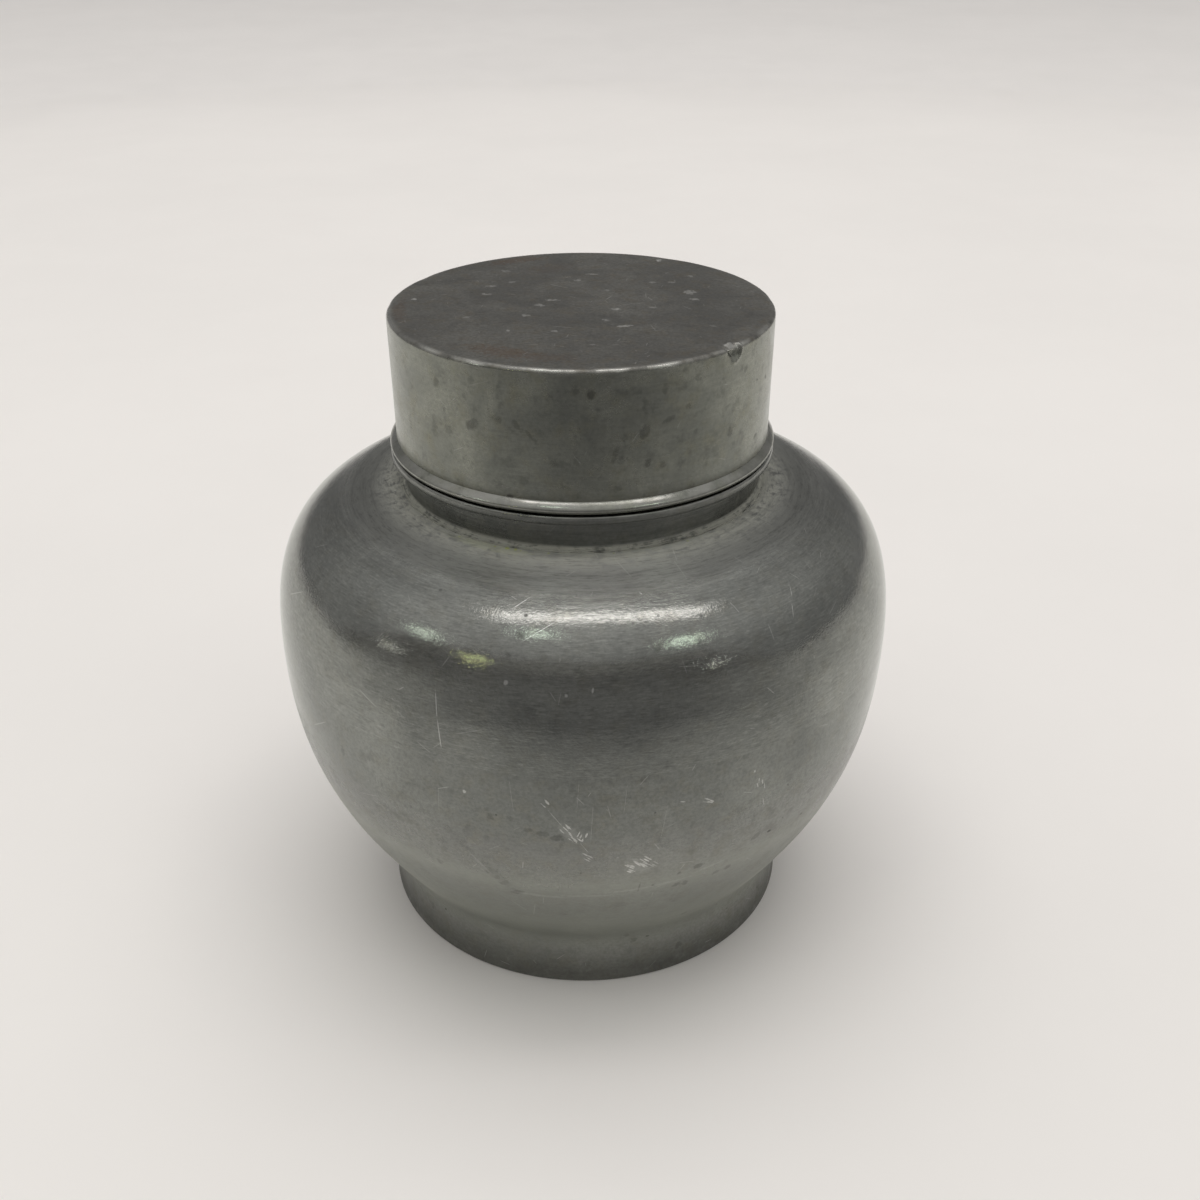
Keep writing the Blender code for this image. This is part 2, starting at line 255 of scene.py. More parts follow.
# a new material: itself, its tree and the inputs of its shader
def newMaterial(name, specular):
    material = bpy.data.materials.new(name)
    material.use_nodes = True
    tree = material.node_tree
    shader = tree.nodes["Principled BSDF"].inputs
    shader["Specular IOR Level"].default_value = specular
    return material, tree, shader


# one operation on up to three values
def sums(operation, a, b=None, c=None):
    node = newNode("Math", a, b, c)
    node.operation = operation
    return node.outputs[0]


# one operation on vectors, the fourth value being a scale
def vectorSums(operation, *values):
    node = newNode("VectorMath", *values)
    node.operation = operation
    return node.outputs[0]


# a times b
def times(a, b):
    return sums("MULTIPLY", a, b)


# a times b plus c
def timesPlus(a, b, c):
    return sums("MULTIPLY_ADD", a, b, c)


# maps a value from one range to another by a smooth step, clamped at both ends
def between(value, low, high, toLow=0.0, toHigh=1.0):
    node = newNode("MapRange", value, low, high, toLow, toHigh)
    node.interpolation_type = "SMOOTHSTEP"
    return node.outputs[0]


# fractal noise about one half, at so many grains to the unit
def grain(vector, scale, detail=2.0, roughness=0.5, twist=0.0):
    node = newNode("TexNoise", vector)
    numbers = {"Scale": scale, "Detail": detail, "Roughness": roughness, "Distortion": twist}
    for name, value in numbers.items():
        node.inputs[name].default_value = value
    return node.outputs[0]


# first times (1 - share) plus second times share
def tint(share, first, second):
    node = newNode("Mix", share)
    node.data_type = "RGBA"
    for socket, value in zip(node.inputs[6:8], (first, second)):
        feed(socket, value if isinstance(value, bpy.types.NodeSocket) else (*value, 1.0))
    return node.outputs[2]


# the number that the mesh holds at this point under a name
def trait(tree, name):
    node = tree.nodes.new("ShaderNodeAttribute")
    node.attribute_name = name
    return node.outputs["Fac"]


# a vector from three values
def joined(x, y, z):
    return newNode("CombineXYZ", x, y, z).outputs[0]


# the three values of a vector
def parted(vector):
    return newNode("SeparateXYZ", vector).outputs


# one located mark: the point's distance round and down from the mark's middle is turned by its tilt and
# divided by its half width and half length; the mark fades out where the two, squared and added, pass 1
def markGroup():
    group = bpy.data.node_groups.new("locatedMark", "ShaderNodeTree")
    for name in ("turn", "radius", "along", "ragged", "atTurn", "atAlong", "acrossRound", "acrossDown",
                 "lengthRound", "lengthDown", "strength"):
        group.interface.new_socket(name, in_out="INPUT", socket_type="NodeSocketFloat")
    group.interface.new_socket("mark", in_out="OUTPUT", socket_type="NodeSocketFloat")
    given = group.nodes.new("NodeGroupInput").outputs
    aside = times(sums("SUBTRACT", given["turn"], given["atTurn"]), given["radius"])
    down = sums("SUBTRACT", given["along"], given["atAlong"])
    across = timesPlus(aside, given["acrossRound"], times(down, given["acrossDown"]))
    length = timesPlus(aside, given["lengthRound"], times(down, given["lengthDown"]))
    reach = timesPlus(across, across, timesPlus(length, length, given["ragged"]))
    inside = between(reach, 1.25, 0.2, 0.0, given["strength"])
    feed(group.nodes.new("NodeGroupOutput").inputs[0], inside)
    return group


locatedMark = markGroup()


# the strongest of several marks at a point; each mark is angle, distance down the profile, tilt,
# length and width, in degrees and mm, and how strongly it shows
def marked(place, marks):
    strongest = times(place["along"], 0.0)  # no mark yet
    for angle, along, tilt, length, width, strength in marks:
        cosine, sine = np.cos(np.radians(tilt)), np.sin(np.radians(tilt))
        mark = strongest.id_data.nodes.new("ShaderNodeGroup")
        mark.node_tree = locatedMark
        values = {
            **place, "atTurn": np.radians(angle), "atAlong": along, "strength": strength,
            "acrossRound": 2 * cosine / width, "acrossDown": 2 * sine / width,
            "lengthRound": -2 * sine / length, "lengthDown": 2 * cosine / length,
        }
        for name, value in values.items():
            feed(mark.inputs[name], value)
        strongest = sums("MAXIMUM", strongest, mark.outputs[0])
    return strongest


# cells of about one size, each with its own middle and three dice
def cells(vector, size, dimensions):
    cell = newNode("TexVoronoi", vector)
    cell.voronoi_dimensions = dimensions
    cell.inputs["Scale"].default_value = 1 / size
    dice = newNode("SeparateColor", cell.outputs["Color"]).outputs
    return cell.outputs["Distance"], cell.outputs["Position"], dice


# one short straight cut in some cells: the way from the cell's middle is turned by the first dice, the cut
# is where it is narrower than the width and shorter than the second dice's share of the cell
def scatteredCuts(flat, size, width, share):
    _, middle, dice = cells(flat, size, "2D")
    x, y, _ = parted(vectorSums("SUBTRACT", flat, middle))
    turned = times(dice[0], np.pi)
    cosine, sine = sums("COSINE", turned), sums("SINE", turned)
    across = timesPlus(x, cosine, times(y, sine))
    length = sums("SUBTRACT", times(y, cosine), times(x, sine))
    thin = between(sums("ABSOLUTE", across), width, 0.2 * width)
    reach = times(dice[1], 0.45 * size)
    short = between(sums("ABSOLUTE", length), reach, times(reach, 0.5))
    picked = between(dice[2], 1 - share, 1.0)
    return times(times(thin, short), picked)


# rings round the axis: a grain over (along * scale, x * streak, y * streak), slow round each ring
def ringGrain(along, x, y, scale, streak, detail, roughness):
    drawn = joined(times(along, scale), times(x, streak), times(y, streak))
    return grain(drawn, 1.0, detail, roughness)


# what the pewter finishes share; each piece's look changes some of it
pewterLook = {
    "dark": (0.235, 0.242, 0.229), "light": (0.305, 0.312, 0.292), "cast": (0.245, 0.240, 0.205),
    "paleMetalAndReflectionColour": (0.43, 0.445, 0.395), "rubbed": (0.50, 0.50, 0.47), "cutColour": (0.72, 0.72, 0.70),
    "pitColour": (0.055, 0.055, 0.05), "grimeAndShadeColour": (0.030, 0.028, 0.018), "brown": (0.155, 0.090, 0.052),
    "verdigris": (0.40, 0.43, 0.18), "dustColour": (0.41, 0.41, 0.36),
    "cloudScale": 0.055, "mottleScale": 0.35, "mottle": 0.45, "mottleRough": 0.22, "mottleDepth": 0.35,
    "grit": 0.35, "gritDepth": 0.25, "blotch": 0.2,
    "streak": 0.10, "fineStreak": 0.38, "ringScale": 1.5, "finer": 2.6, "ringShade": 0.22, "fineShade": 0.14,
    "ringDepth": 0.55, "ringRough": 0.10,
    "pitSize": 3.4, "pits": 0.5, "cutSize": 9.0, "hairs": 0.35, "ragged": 2.2, "flat": False, "girth": 45.0,
    "smooth": 0.22, "rough": 0.34, "turnedGleam": 0.0, "wearGloss": 0.06, "bump": 0.03,
}
# grains of the same kind on every finish: scale to the mm, detail and roughness
sharedGrains = {
    "ragged": (1.7, 3), "blotch": (0.42, 3, 0.6), "grit": (1.9, 3, 0.7), "dust": (0.6, 4, 0.65),
    "pitPatch": (0.07, 1), "dirtAndShade": (0.5, 3), "wear": (0.3, 3),
}


# old pewter: cloudy grey metal with broken tool rings, soft dark pits and short cuts; each layer is mixed
# over the ones below by its share, and its share times an amount is added to the roughness
def pewterFinish(name, look, scratches=(), stains=(), brownStains=(), verdigris=()):
    material, tree, shader = newMaterial(name, 0.5)
    local = tree.nodes.new("ShaderNodeTexCoord").outputs["Object"]
    spot = vectorSums("SCALE", local, None, None, 1 / mm)
    x, y, _ = parted(spot)
    along = trait(tree, "along")
    grains = {kind: grain(spot, *numbers) for kind, numbers in sharedGrains.items()}
    place = {
        "turn": sums("ARCTAN2", x, times(y, -1.0)),
        "radius": sums("SQRT", timesPlus(x, x, times(y, y))),
        "along": along,
        "ragged": timesPlus(grains["ragged"], look["ragged"], -0.5 * look["ragged"]),
    }

    # slow clouds, small mottling and rings that follow the profile
    clouds = grain(spot, look["cloudScale"], 4, 0.6, 0.6)
    mottle = grain(spot, look["mottleScale"], 5, 0.65)
    rings = ringGrain(along, x, y, look["ringScale"], look["streak"], 4, 0.7)
    fineRings = ringGrain(along, x, y, look["ringScale"] * look["finer"], look["fineStreak"], 3, 0.65)
    ringed = trait(tree, "ringed")
    ringShade = times(ringed, look["ringShade"])

    # pits: soft dots of different sizes, in the patches of a larger grain
    away, _, dice = cells(spot, look["pitSize"], "3D")
    dot = times(times(dice[0], dice[1]), 0.17)
    edge = timesPlus(grains["ragged"], 0.3, sums("ADD", away, -0.13))
    pits = between(edge, sums("ADD", dot, 0.05), sums("ADD", dot, -0.05))
    pits = times(pits, between(grains["pitPatch"], 0.40, 0.62))

    # cuts lie anywhere on the unrolled surface
    if look["flat"]:
        flat = joined(x, y, 0.0)
    else:
        flat = joined(times(place["turn"], look["girth"]), along, 0.0)
    hairs = sums("MAXIMUM", scatteredCuts(flat, look["cutSize"], 0.10, 0.45),
                 scatteredCuts(flat, look["cutSize"] * 0.37, 0.08, 0.25))
    cuts = sums("MAXIMUM", times(hairs, look["hairs"]), marked(place, scratches))

    # pale dust stays in the turned rings where no cloth reaches; the creases darken unevenly, by dirt and
    # painted shade
    dustGrain = timesPlus(fineRings, 0.9, grains["dust"])
    dust = times(trait(tree, "dust"), between(dustGrain, 0.72, 1.0))
    dirtAndShade = times(trait(tree, "grime"), between(grains["dirtAndShade"], 0.0, 0.5))
    wear = times(trait(tree, "wear"), between(grains["wear"], 0.3, 0.65))
    crust = marked(place, verdigris)

    # the metal's own layers, from the lowest: share and colour
    dark, light = np.array(look["dark"]), np.array(look["light"])
    colour = tint(between(clouds, 0.33, 0.68), dark, light)
    for share, shade in (
            (between(mottle, 0.45, 0.75, 0.0, look["mottle"]), look["cast"]),
            (between(grains["blotch"], 0.54, 0.70, 0.0, look["blotch"]), 0.5 * dark),
            (between(grains["grit"], 0.3, 0.75, 0.0, look["grit"]), 0.6 * dark),
            (trait(tree, "pale"), look["paleMetalAndReflectionColour"]),
            (dust, look["dustColour"]),
            (between(rings, 0.50, 0.64, 0.0, ringShade), 0.62 * dark),
            (between(rings, 0.50, 0.36, 0.0, ringShade), 1.4 * light),
            (between(fineRings, 0.52, 0.68, 0.0, look["fineShade"]), 0.5 * dark),
            (between(fineRings, 0.47, 0.32, 0.0, look["fineShade"]), 1.35 * light),
            (times(pits, look["pits"]), look["pitColour"])):
        colour = tint(share, colour, shade)
    roughness = between(clouds, 0.3, 0.7, look["smooth"], look["rough"])
    for value, amount in (
            (sums("SUBTRACT", fineRings, 0.5), look["ringRough"]),
            (trait(tree, "matt"), 0.24),
            (pits, 0.12),
            (sums("SUBTRACT", mottle, 0.5), look["mottleRough"])):
        roughness = timesPlus(value, amount, roughness)

    # what lies on the metal, from the lowest: share, colour and what it adds to the roughness
    for share, shade, dulling in (
            (marked(place, brownStains), look["brown"], 0.1),
            (marked(place, stains), look["pitColour"], 0.12),
            # dirt, which at the bead's lower edge and at the foot is painted shade
            (dirtAndShade, look["grimeAndShadeColour"], 0.3),
            (wear, look["rubbed"], -look["wearGloss"]),
            (cuts, look["cutColour"], 0.18),
            (crust, look["verdigris"], 0.4)):
        colour = tint(share, colour, shade)
        roughness = timesPlus(share, dulling, roughness)
    roughness = timesPlus(dust, 0.25, roughness)
    dull = sums("MAXIMUM", sums("MAXIMUM", dirtAndShade, crust), dust)

    # a turned surface spreads its gleam across the rings
    if look["turnedGleam"]:
        roundAxis = joined(times(y, -1.0), x, 0.0)
        feed(shader["Tangent"], vectorSums("NORMALIZE", roundAxis))
        shader["Anisotropic"].default_value = look["turnedGleam"]
        shader["Anisotropic Rotation"].default_value = 0.25

    height = times(timesPlus(fineRings, 0.6, rings), times(ringed, look["ringDepth"]))
    height = timesPlus(mottle, look["mottleDepth"], height)
    height = timesPlus(grains["grit"], look["gritDepth"], height)
    bump = tree.nodes.new("ShaderNodeBump")
    for title, value in (("Strength", 1.0), ("Distance", look["bump"] * mm), ("Height", height)):
        feed(bump.inputs[title], value)
    for title, value in (("Base Color", colour), ("Roughness", roughness), ("Normal", bump.outputs[0]),
                         ("Metallic", timesPlus(dull, -0.75, 1.0))):
        feed(shader[title], value)
    print("finish", name, "with", len(tree.nodes), "nodes")
    return material


# Jar: the flank on its foot and the shoulder, two castings that meet at the widest ring
jar = named({
    "footRadius": 35.0, "footHeight": 7.8, "footFillet": 6.1, "footEdge": 0.45, "edgePoints": 6,
    "footFlow": 1.5, "flowBelow": 26, "footRing": 4.0, "innerEdge": 0.3, "ledge": 2.6,
    "flankLean": 35.4, "flankLow": 0.40, "flankHigh": 0.42,
    "bellyRadius": 50.3, "bellyHeight": 53.2, "meetsAt": 53.05,
    "shoulderRise": 24.2, "shoulderFall": 5.5, "shoulderFull": 0.70, "bellyFull": 0.74,
    "neckRadius": 27.7, "neckHole": 27.0, "collarReach": 29.1,
    "wall": 2.0, "lapDepth": 4.0, "lapRadius": 49.4, "lapPlay": 0.1,
    "steps": 480, "unevenness": 0.05, "ringHeight": 0.010,
    # bearing, height, reach and depth
    "dents": ((-52, 61, 5.0, 0.10), (67, 45, 6.0, 0.12), (150, 50, 7.0, 0.14), (-140, 66, 5.0, 0.10)),
    # heights, and how pale the metal is painted at each: painted reflection of the floor, fading to painted
    # shade at the foot
    "paleAt": (2, 5, 7, 9.5, 12, 14, 16, 19, 23, 27, 29, 30.5, 32.5, 35, 40),
    "paleness": (0.05, 0.1, 0.18, 0.42, 0.62, 0.70, 0.68, 0.50, 0.35, 0.35, 0.47, 0.50, 0.30, 0.12, 0.0),
})

shoulderPull = jar.shoulderFull * (jar.bellyRadius - jar.neckRadius)
neckRoot = jar.bellyHeight + jar.shoulderRise
fall = np.radians(jar.shoulderFall)
shoulderOutside = pulledCurve(
    (jar.neckRadius, neckRoot),
    (jar.neckRadius + shoulderPull * np.cos(fall), neckRoot - shoulderPull * np.sin(fall)),
    (jar.bellyRadius, jar.bellyHeight + jar.bellyFull * jar.shoulderRise),
    (jar.bellyRadius, jar.bellyHeight), 112)
shoulderOutside = np.vstack((shoulderOutside, [(jar.bellyRadius, jar.meetsAt)]))
shoulderInside = innerWall(shoulderOutside[:-1], jar.wall)[::-3]
shoulderInside = shoulderInside[shoulderInside[:, 0] > jar.neckHole + 0.5]
lapInner = jar.lapRadius - jar.lapPlay
lapEnd = jar.bellyHeight - jar.lapDepth + jar.lapPlay
boreRadius = jar.bellyRadius - jar.wall
shoulderProfile = np.vstack((
    shoulderOutside,
    runThrough([(lapInner, jar.meetsAt), (lapInner, lapEnd), (boreRadius, lapEnd)], 1.5),
    shoulderInside,
    [(jar.neckHole, neckRoot - jar.wall), (jar.neckHole, neckRoot)],
))

lean = np.radians(jar.flankLean)
filletCentre = (jar.footRadius + jar.footFillet, jar.footHeight)
footFillet = roundOff(filletCentre, jar.footFillet, jar.footFillet, 180 - jar.flankLean, 180, 22)
flankEnd = footFillet[0]
rimHeight = jar.bellyHeight - 0.3
flankRise = rimHeight - flankEnd[1]
flankOutside = pulledCurve(
    (jar.bellyRadius, rimHeight),
    (jar.bellyRadius, rimHeight - jar.flankHigh * flankRise),
    flankEnd + jar.flankLow * flankRise * np.array((np.sin(lean), np.cos(lean))),
    flankEnd, 92)
footLine = uprightRun(jar.footRadius, jar.footHeight, 2.0, 0.8)[1:]
lowFlank = flankOutside[:, 1] < jar.flowBelow
flankLine = flowing(np.vstack((flankOutside[lowFlank], footFillet[1:], footLine)), 0.45, jar.footFlow)
bellyOutside = np.vstack(([(jar.bellyRadius, jar.meetsAt)], flankOutside[~lowFlank], flankLine))
footInner = jar.footRadius - jar.footRing
foot = np.vstack((
    rounded(jar.footRadius, 0, jar.footEdge, 0, -90, jar.edgePoints),
    levelRun(0, jar.footRadius - jar.footEdge, footInner + jar.innerEdge, 1.2)[1:-1],
    rounded(footInner, 0, jar.innerEdge, -90, -180, 4),
    [(footInner, jar.ledge), (jar.footRadius - jar.wall, jar.ledge)],
))
bellyInside = innerWall(np.vstack((flankOutside, footFillet[1:])), jar.wall)[::-2]
lapFloor = jar.bellyHeight - jar.lapDepth - jar.lapPlay
bellyInside = bellyInside[bellyInside[:, 1] < lapFloor]
bellyProfile = np.vstack((
    bellyOutside, foot, bellyInside,
    [(boreRadius, lapFloor), (jar.lapRadius, lapFloor), (jar.lapRadius, jar.meetsAt)],
))

shoulderLength = walked(shoulderOutside)[-1]
rootAlong = float(np.interp(jar.collarReach, shoulderOutside[:, 0], walked(shoulderOutside)))
rootHeight = float(np.interp(jar.collarReach, shoulderOutside[:, 0], shoulderOutside[:, 1]))
jarOutline = np.vstack((shoulderOutside, bellyOutside[1:], foot[:jar.edgePoints]))
jarAlong = walked(jarOutline)


# hand-turned unevenness: slow waves, tool rings and shallow dents, all below the drawn surface
def jarLift(angle, profile, along):
    height = profile[:, 1:]
    outside = firstRows(profile, len(shoulderOutside) if along[0, 0] == 0 else len(bellyOutside))
    push = jar.unevenness * (waviness(angle, along, 4, (2, 3, 5, 7), (60, 38, 24, 17)) - 1)
    push = push + jar.ringHeight * (toolRings(along, 11, 1.3) - 1)
    for degrees, at, reach, depth in jar.dents:
        away = np.hypot(bearingFrom(angle, degrees) * 48, height - at)  # 48 mm is about the radius there
        push = push - depth * bell(away, reach)
    return push * (outside[:, None] * ease(height, 1.0, 4.0))


# dust in a bell curve round the neck's root; rings, matt and pale metal fade out down the shoulder
def shoulderTraits(profile, along):
    outside = firstRows(profile, len(shoulderOutside))
    return {
        "grime": ~outside * 0.25,
        "dust": outside * 0.95 * bell(along - rootAlong - 0.3, 3.6),
        "ringed": outside * (0.12 + 0.88 * ease(along, 17, 9)),
        "matt": np.where(outside, 1.9 * ease(along, 14, 7), 0.8),
        "pale": outside * 0.9 * ease(along, 13.5, 4),
    }


# painted shade at the foot, a little wear there, matt metal that fades out upwards, paleness between the set
# heights
def bellyTraits(profile, along):
    height = profile[:, 1]
    outside = firstRows(profile, len(bellyOutside) + jar.edgePoints)
    matt = ease(height, 36, 16) * (0.3 + 0.7 * ease(height, 3, 12))
    return {
        "wear": outside * 0.12 * bell(height - 0.2, 0.35),
        # painted shade: the foot darkens towards the floor
        "grime": outside * 0.52 * ease(height, 8.0, 0.5) + ~outside * 0.3,
        "ringed": outside * 0.1,
        "matt": np.where(outside, matt - 0.8 * ease(height, 38, 52), 0.8),
        # painted reflection: the paleness by height stands in for the floor mirrored in the belly, and falls
        # off as painted shade near the foot
        "pale": outside * np.interp(height, jar.paleAt, jar.paleness),
    }


# marks given by angle, height, tilt, length, width and strength; the height becomes distance down the outline
def jarMarks(marks):
    order = np.argsort(jarOutline[:, 1])
    heights, alongs = jarOutline[order, 1], jarAlong[order]
    return [(angle, float(np.interp(height, heights, alongs)), *rest) for angle, height, *rest in marks]


# a scuff: fine cuts side by side, spread about its middle by seeded dice; reach is half its width and height
def scuff(angle, height, tilt, count, reach, strength, seed):
    dice = np.random.default_rng(seed)
    aside, rise, turned = dice.uniform(-1, 1, (3, count))
    long, wide, strong = dice.uniform(0.6, 1, (3, count))
    columns = (angle + aside * reach / 0.8, height + rise * reach, tilt + 9 * turned, 2.2 * reach * long,
               0.32 * wide, strength * strong)
    return [tuple(row) for row in np.column_stack(columns).tolist()]


shoulderScratches = jarMarks((
    (-24.5, 62.0, -6, 4.6, 0.16, 0.60), (-23.9, 57.6, -7, 4.6, 0.19, 0.64),
    (-23.6, 68.2, 28, 2.4, 0.12, 0.45), (-12.3, 74.8, 42, 3.2, 0.16, 0.56),
    (42.6, 72.4, 30, 2.4, 0.12, 0.45), (40.6, 70.7, 26, 2.2, 0.14, 0.56), (-12.8, 66.8, 0, 0.8, 0.7, 0.60),
    (-3.0, 65.6, 0, 0.6, 0.6, 0.52), (1.3, 66.3, 10, 0.9, 0.31, 0.60),
))
bellyScratches = jarMarks((
    *scuff(-6.6, 48.2, -38, 4, 0.6, 0.6, 61), *scuff(-3.5, 43.8, -34, 6, 0.8, 0.7, 62),
    *scuff(-2.0, 42.0, -38, 5, 0.7, 0.75, 63), *scuff(-0.6, 42.2, 22, 4, 0.6, 0.8, 64),
    *scuff(0.6, 38.0, -42, 4, 0.7, 0.55, 65), *scuff(9.9, 35.9, -44, 9, 0.9, 1.0, 66),
    *scuff(8.0, 34.7, -48, 8, 0.8, 1.0, 67), *scuff(11.6, 34.6, -46, 3, 0.8, 0.5, 68),
    *scuff(20.4, 46.2, -60, 4, 0.8, 0.6, 69), *scuff(30.4, 46.9, -10, 4, 0.9, 0.6, 70),
    (-5.0, 45.9, -33, 4.4, 0.12, 0.3), (-0.2, 39.9, -30, 3.4, 0.12, 0.3), (9.0, 35.2, -50, 4.6, 2.6, 0.13),
    (-2.6, 43.0, -38, 4.4, 2.6, 0.10), (16.0, 47.3, -78, 1.2, 0.22, 0.5), (-20.0, 48.8, 0, 0.7, 0.6, 0.5),
    (29.0, 49.4, 0, 0.7, 0.5, 0.6), (31.8, 42.7, -14, 1.8, 0.14, 0.4), (-1.2, 50.2, 4, 7.0, 0.10, 0.2),
    (1.0, 45.0, 3, 8.0, 0.10, 0.2), (6.4, 49.0, 5, 6.0, 0.10, 0.2), (3.8, 47.0, -12, 2.4, 0.12, 0.3),
    (-9.0, 27.5, 92, 9.0, 0.7, 0.16), (0.5, 27.9, 90, 9.0, 0.6, 0.16), (8.5, 29.0, 85, 8.0, 0.7, 0.18),
    (16.0, 29.6, 84, 7.0, 0.6, 0.16), (23.5, 31.3, 76, 6.0, 0.6, 0.14), (-19.0, 34.0, -32, 6.0, 0.6, 0.12),
    (-12.0, 49.5, -4, 6.0, 0.10, 0.18), (13.0, 44.0, 6, 7.0, 0.10, 0.18), (-25.0, 46.0, 5, 6.0, 0.10, 0.18),
))

# soft dark spots, most of them along the edge of an old spill
bellyStains = jarMarks((
    (-15.8, 45.0, 0, 1.5, 1.1, 0.26), (-12.4, 45.1, 0, 1.1, 1.0, 0.24), (-9.6, 43.1, 60, 1.5, 1.0, 0.24),
    (-7.6, 42.7, 0, 1.2, 1.1, 0.28), (-6.6, 42.7, 0, 1.1, 1.0, 0.22), (-4.6, 42.1, 70, 2.1, 1.5, 0.40),
    (20.8, 32.3, 70, 1.7, 1.2, 0.36), (27.8, 29.1, 0, 1.4, 1.2, 0.30), (25.2, 28.8, 40, 1.5, 1.1, 0.26),
    (32.2, 35.0, 40, 2.2, 1.4, 0.30), (26.0, 4.5, 30, 1.8, 1.3, 0.30), (12.6, 8.3, 0, 1.3, 1.2, 0.26),
    (10.4, 10.0, 0, 1.2, 1.0, 0.20), (24.0, 14.8, 0, 1.4, 1.2, 0.20), (19.0, 28.4, 0, 1.3, 1.2, 0.30),
    (17.2, 28.4, 75, 1.7, 1.2, 0.30), (-13.2, 27.8, 60, 2.6, 1.5, 0.30), (-15.2, 30.1, 40, 2.2, 1.2, 0.26),
    (-17.6, 32.6, 30, 2.0, 1.2, 0.24), (-16.4, 31.2, 0, 1.5, 1.2, 0.24), (-28.0, 31.5, 0, 1.6, 1.2, 0.22),
    (-49.0, 6.3, 0, 1.6, 1.3, 0.2), (-46.6, 46.9, 10, 2.6, 1.1, 0.30), (-11.4, 54.1, 0, 1.8, 1.8, 0.20),
    (-22.6, 38.7, -39, 9.0, 1.6, 0.10), (-16.4, 31.6, -32, 9.0, 2.4, 0.12), (9.8, 29.5, 4, 3.4, 0.3, 0.3),
))
shoulderStains = jarMarks((
    (-11.4, 72.2, 0, 1.5, 1.4, 0.4), (-11.0, 73.9, 0, 0.6, 0.6, 0.7), (14.0, 73.6, 0, 0.5, 0.5, 0.4),
    (9.0, 73.2, 0, 0.4, 0.5, 0.4), (22.0, 73.0, 0, 0.6, 0.5, 0.4), (-30.0, 74.6, 0, 0.6, 0.6, 0.35),
))
# green specks in the corner by the neck: angle, distance past the root, length, width and strength
shoulderSpecks = [(angle, rootAlong + past, 0, *rest) for angle, past, *rest in (
    (-21.9, 0.30, 0.7, 0.8, 0.95), (-19.4, 0.25, 0.6, 0.6, 0.85), (-17.8, 0.4, 0.4, 0.4, 0.6),
    (-25.6, 0.4, 0.45, 0.45, 0.65), (-9.8, 0.3, 0.4, 0.5, 0.5), (8.5, 0.3, 0.4, 0.4, 0.45),
    (31.0, 0.4, 0.5, 0.5, 0.5), (-38.0, 0.4, 0.5, 0.5, 0.5), (-28.0, 0.8, 2.0, 15.0, 0.16),
    (140.0, 0.3, 0.5, 0.6, 0.6), (-110.0, 0.3, 0.5, 0.5, 0.6), (178.0, 0.3, 0.4, 0.5, 0.6),
)]
shoulderFinish = pewterFinish("shoulderPewter", {
    **pewterLook, "paleMetalAndReflectionColour": (0.42, 0.425, 0.405), "ringDepth": 0.8, "ringShade": 0.30, "fineShade": 0.34,
    "mottleRough": 0.06, "fineStreak": 0.6, "smooth": 0.035, "rough": 0.075, "gritDepth": 1.0,
    "turnedGleam": 1.0,
}, shoulderScratches, shoulderStains, verdigris=shoulderSpecks)
bellyFinish = pewterFinish("bellyPewter", {
    **pewterLook, "mottle": 0.7, "blotch": 0.34, "grit": 0.5, "ringShade": 0.08, "fineShade": 0.06,
    "pits": 0.7, "pitSize": 2.8, "ragged": 3.2,
}, bellyScratches, bellyStains)
shoulder = turnedPiece("shoulderTurned", shoulderProfile, jar.steps, jarLift, shoulderTraits)
settle(shoulder, "jar", "shoulder_shell", shoulderFinish)
belly = turnedPiece("bellyTurned", bellyProfile, jar.steps, jarLift, bellyTraits, shoulderLength)
settle(belly, "jar", "belly_shell", bellyFinish)


# Base plate: a disc let into the foot, turned flat with faint rings
base = named({"radius": 32.7, "low": 2.9, "high": 4.7, "edge": 0.25, "steps": 240, "ringHeight": 0.02})
baseProfile = np.vstack((
    levelRun(base.high, 0, base.radius - base.edge, 1.0),
    rounded(base.radius, base.high, base.edge, 90, 0, 5)[1:],
    levelRun(base.low, base.radius, 0, 0.9),
))


# faint tool rings on both faces, none at the axis or at the rim; 0 * angle spreads them round
def baseLift(angle, profile, along):
    held = ease(profile[:, :1], 0.5, 3.0) * ease(profile[:, :1], base.radius, base.radius - 2)
    return base.ringHeight * (toolRings(along, 23, 1.8) - 1) * held + 0 * angle


# wear in a bell curve about the middle, grime that grows towards the rim
def baseTraits(profile, along):
    return {"wear": 0.2 * bell(profile[:, 0], 12), "grime": 0.3 + 0.5 * ease(profile[:, 0], 27, 32)}


baseFinish = pewterFinish("basePewter", {
    **pewterLook, "smooth": 0.34, "rough": 0.5, "hairs": 0.5, "flat": True,
})
basePlate = turnedPiece("basePlateTurned", baseProfile, base.steps, baseLift, baseTraits, closed=False)
settle(basePlate, "jar", "base_plate", baseFinish)


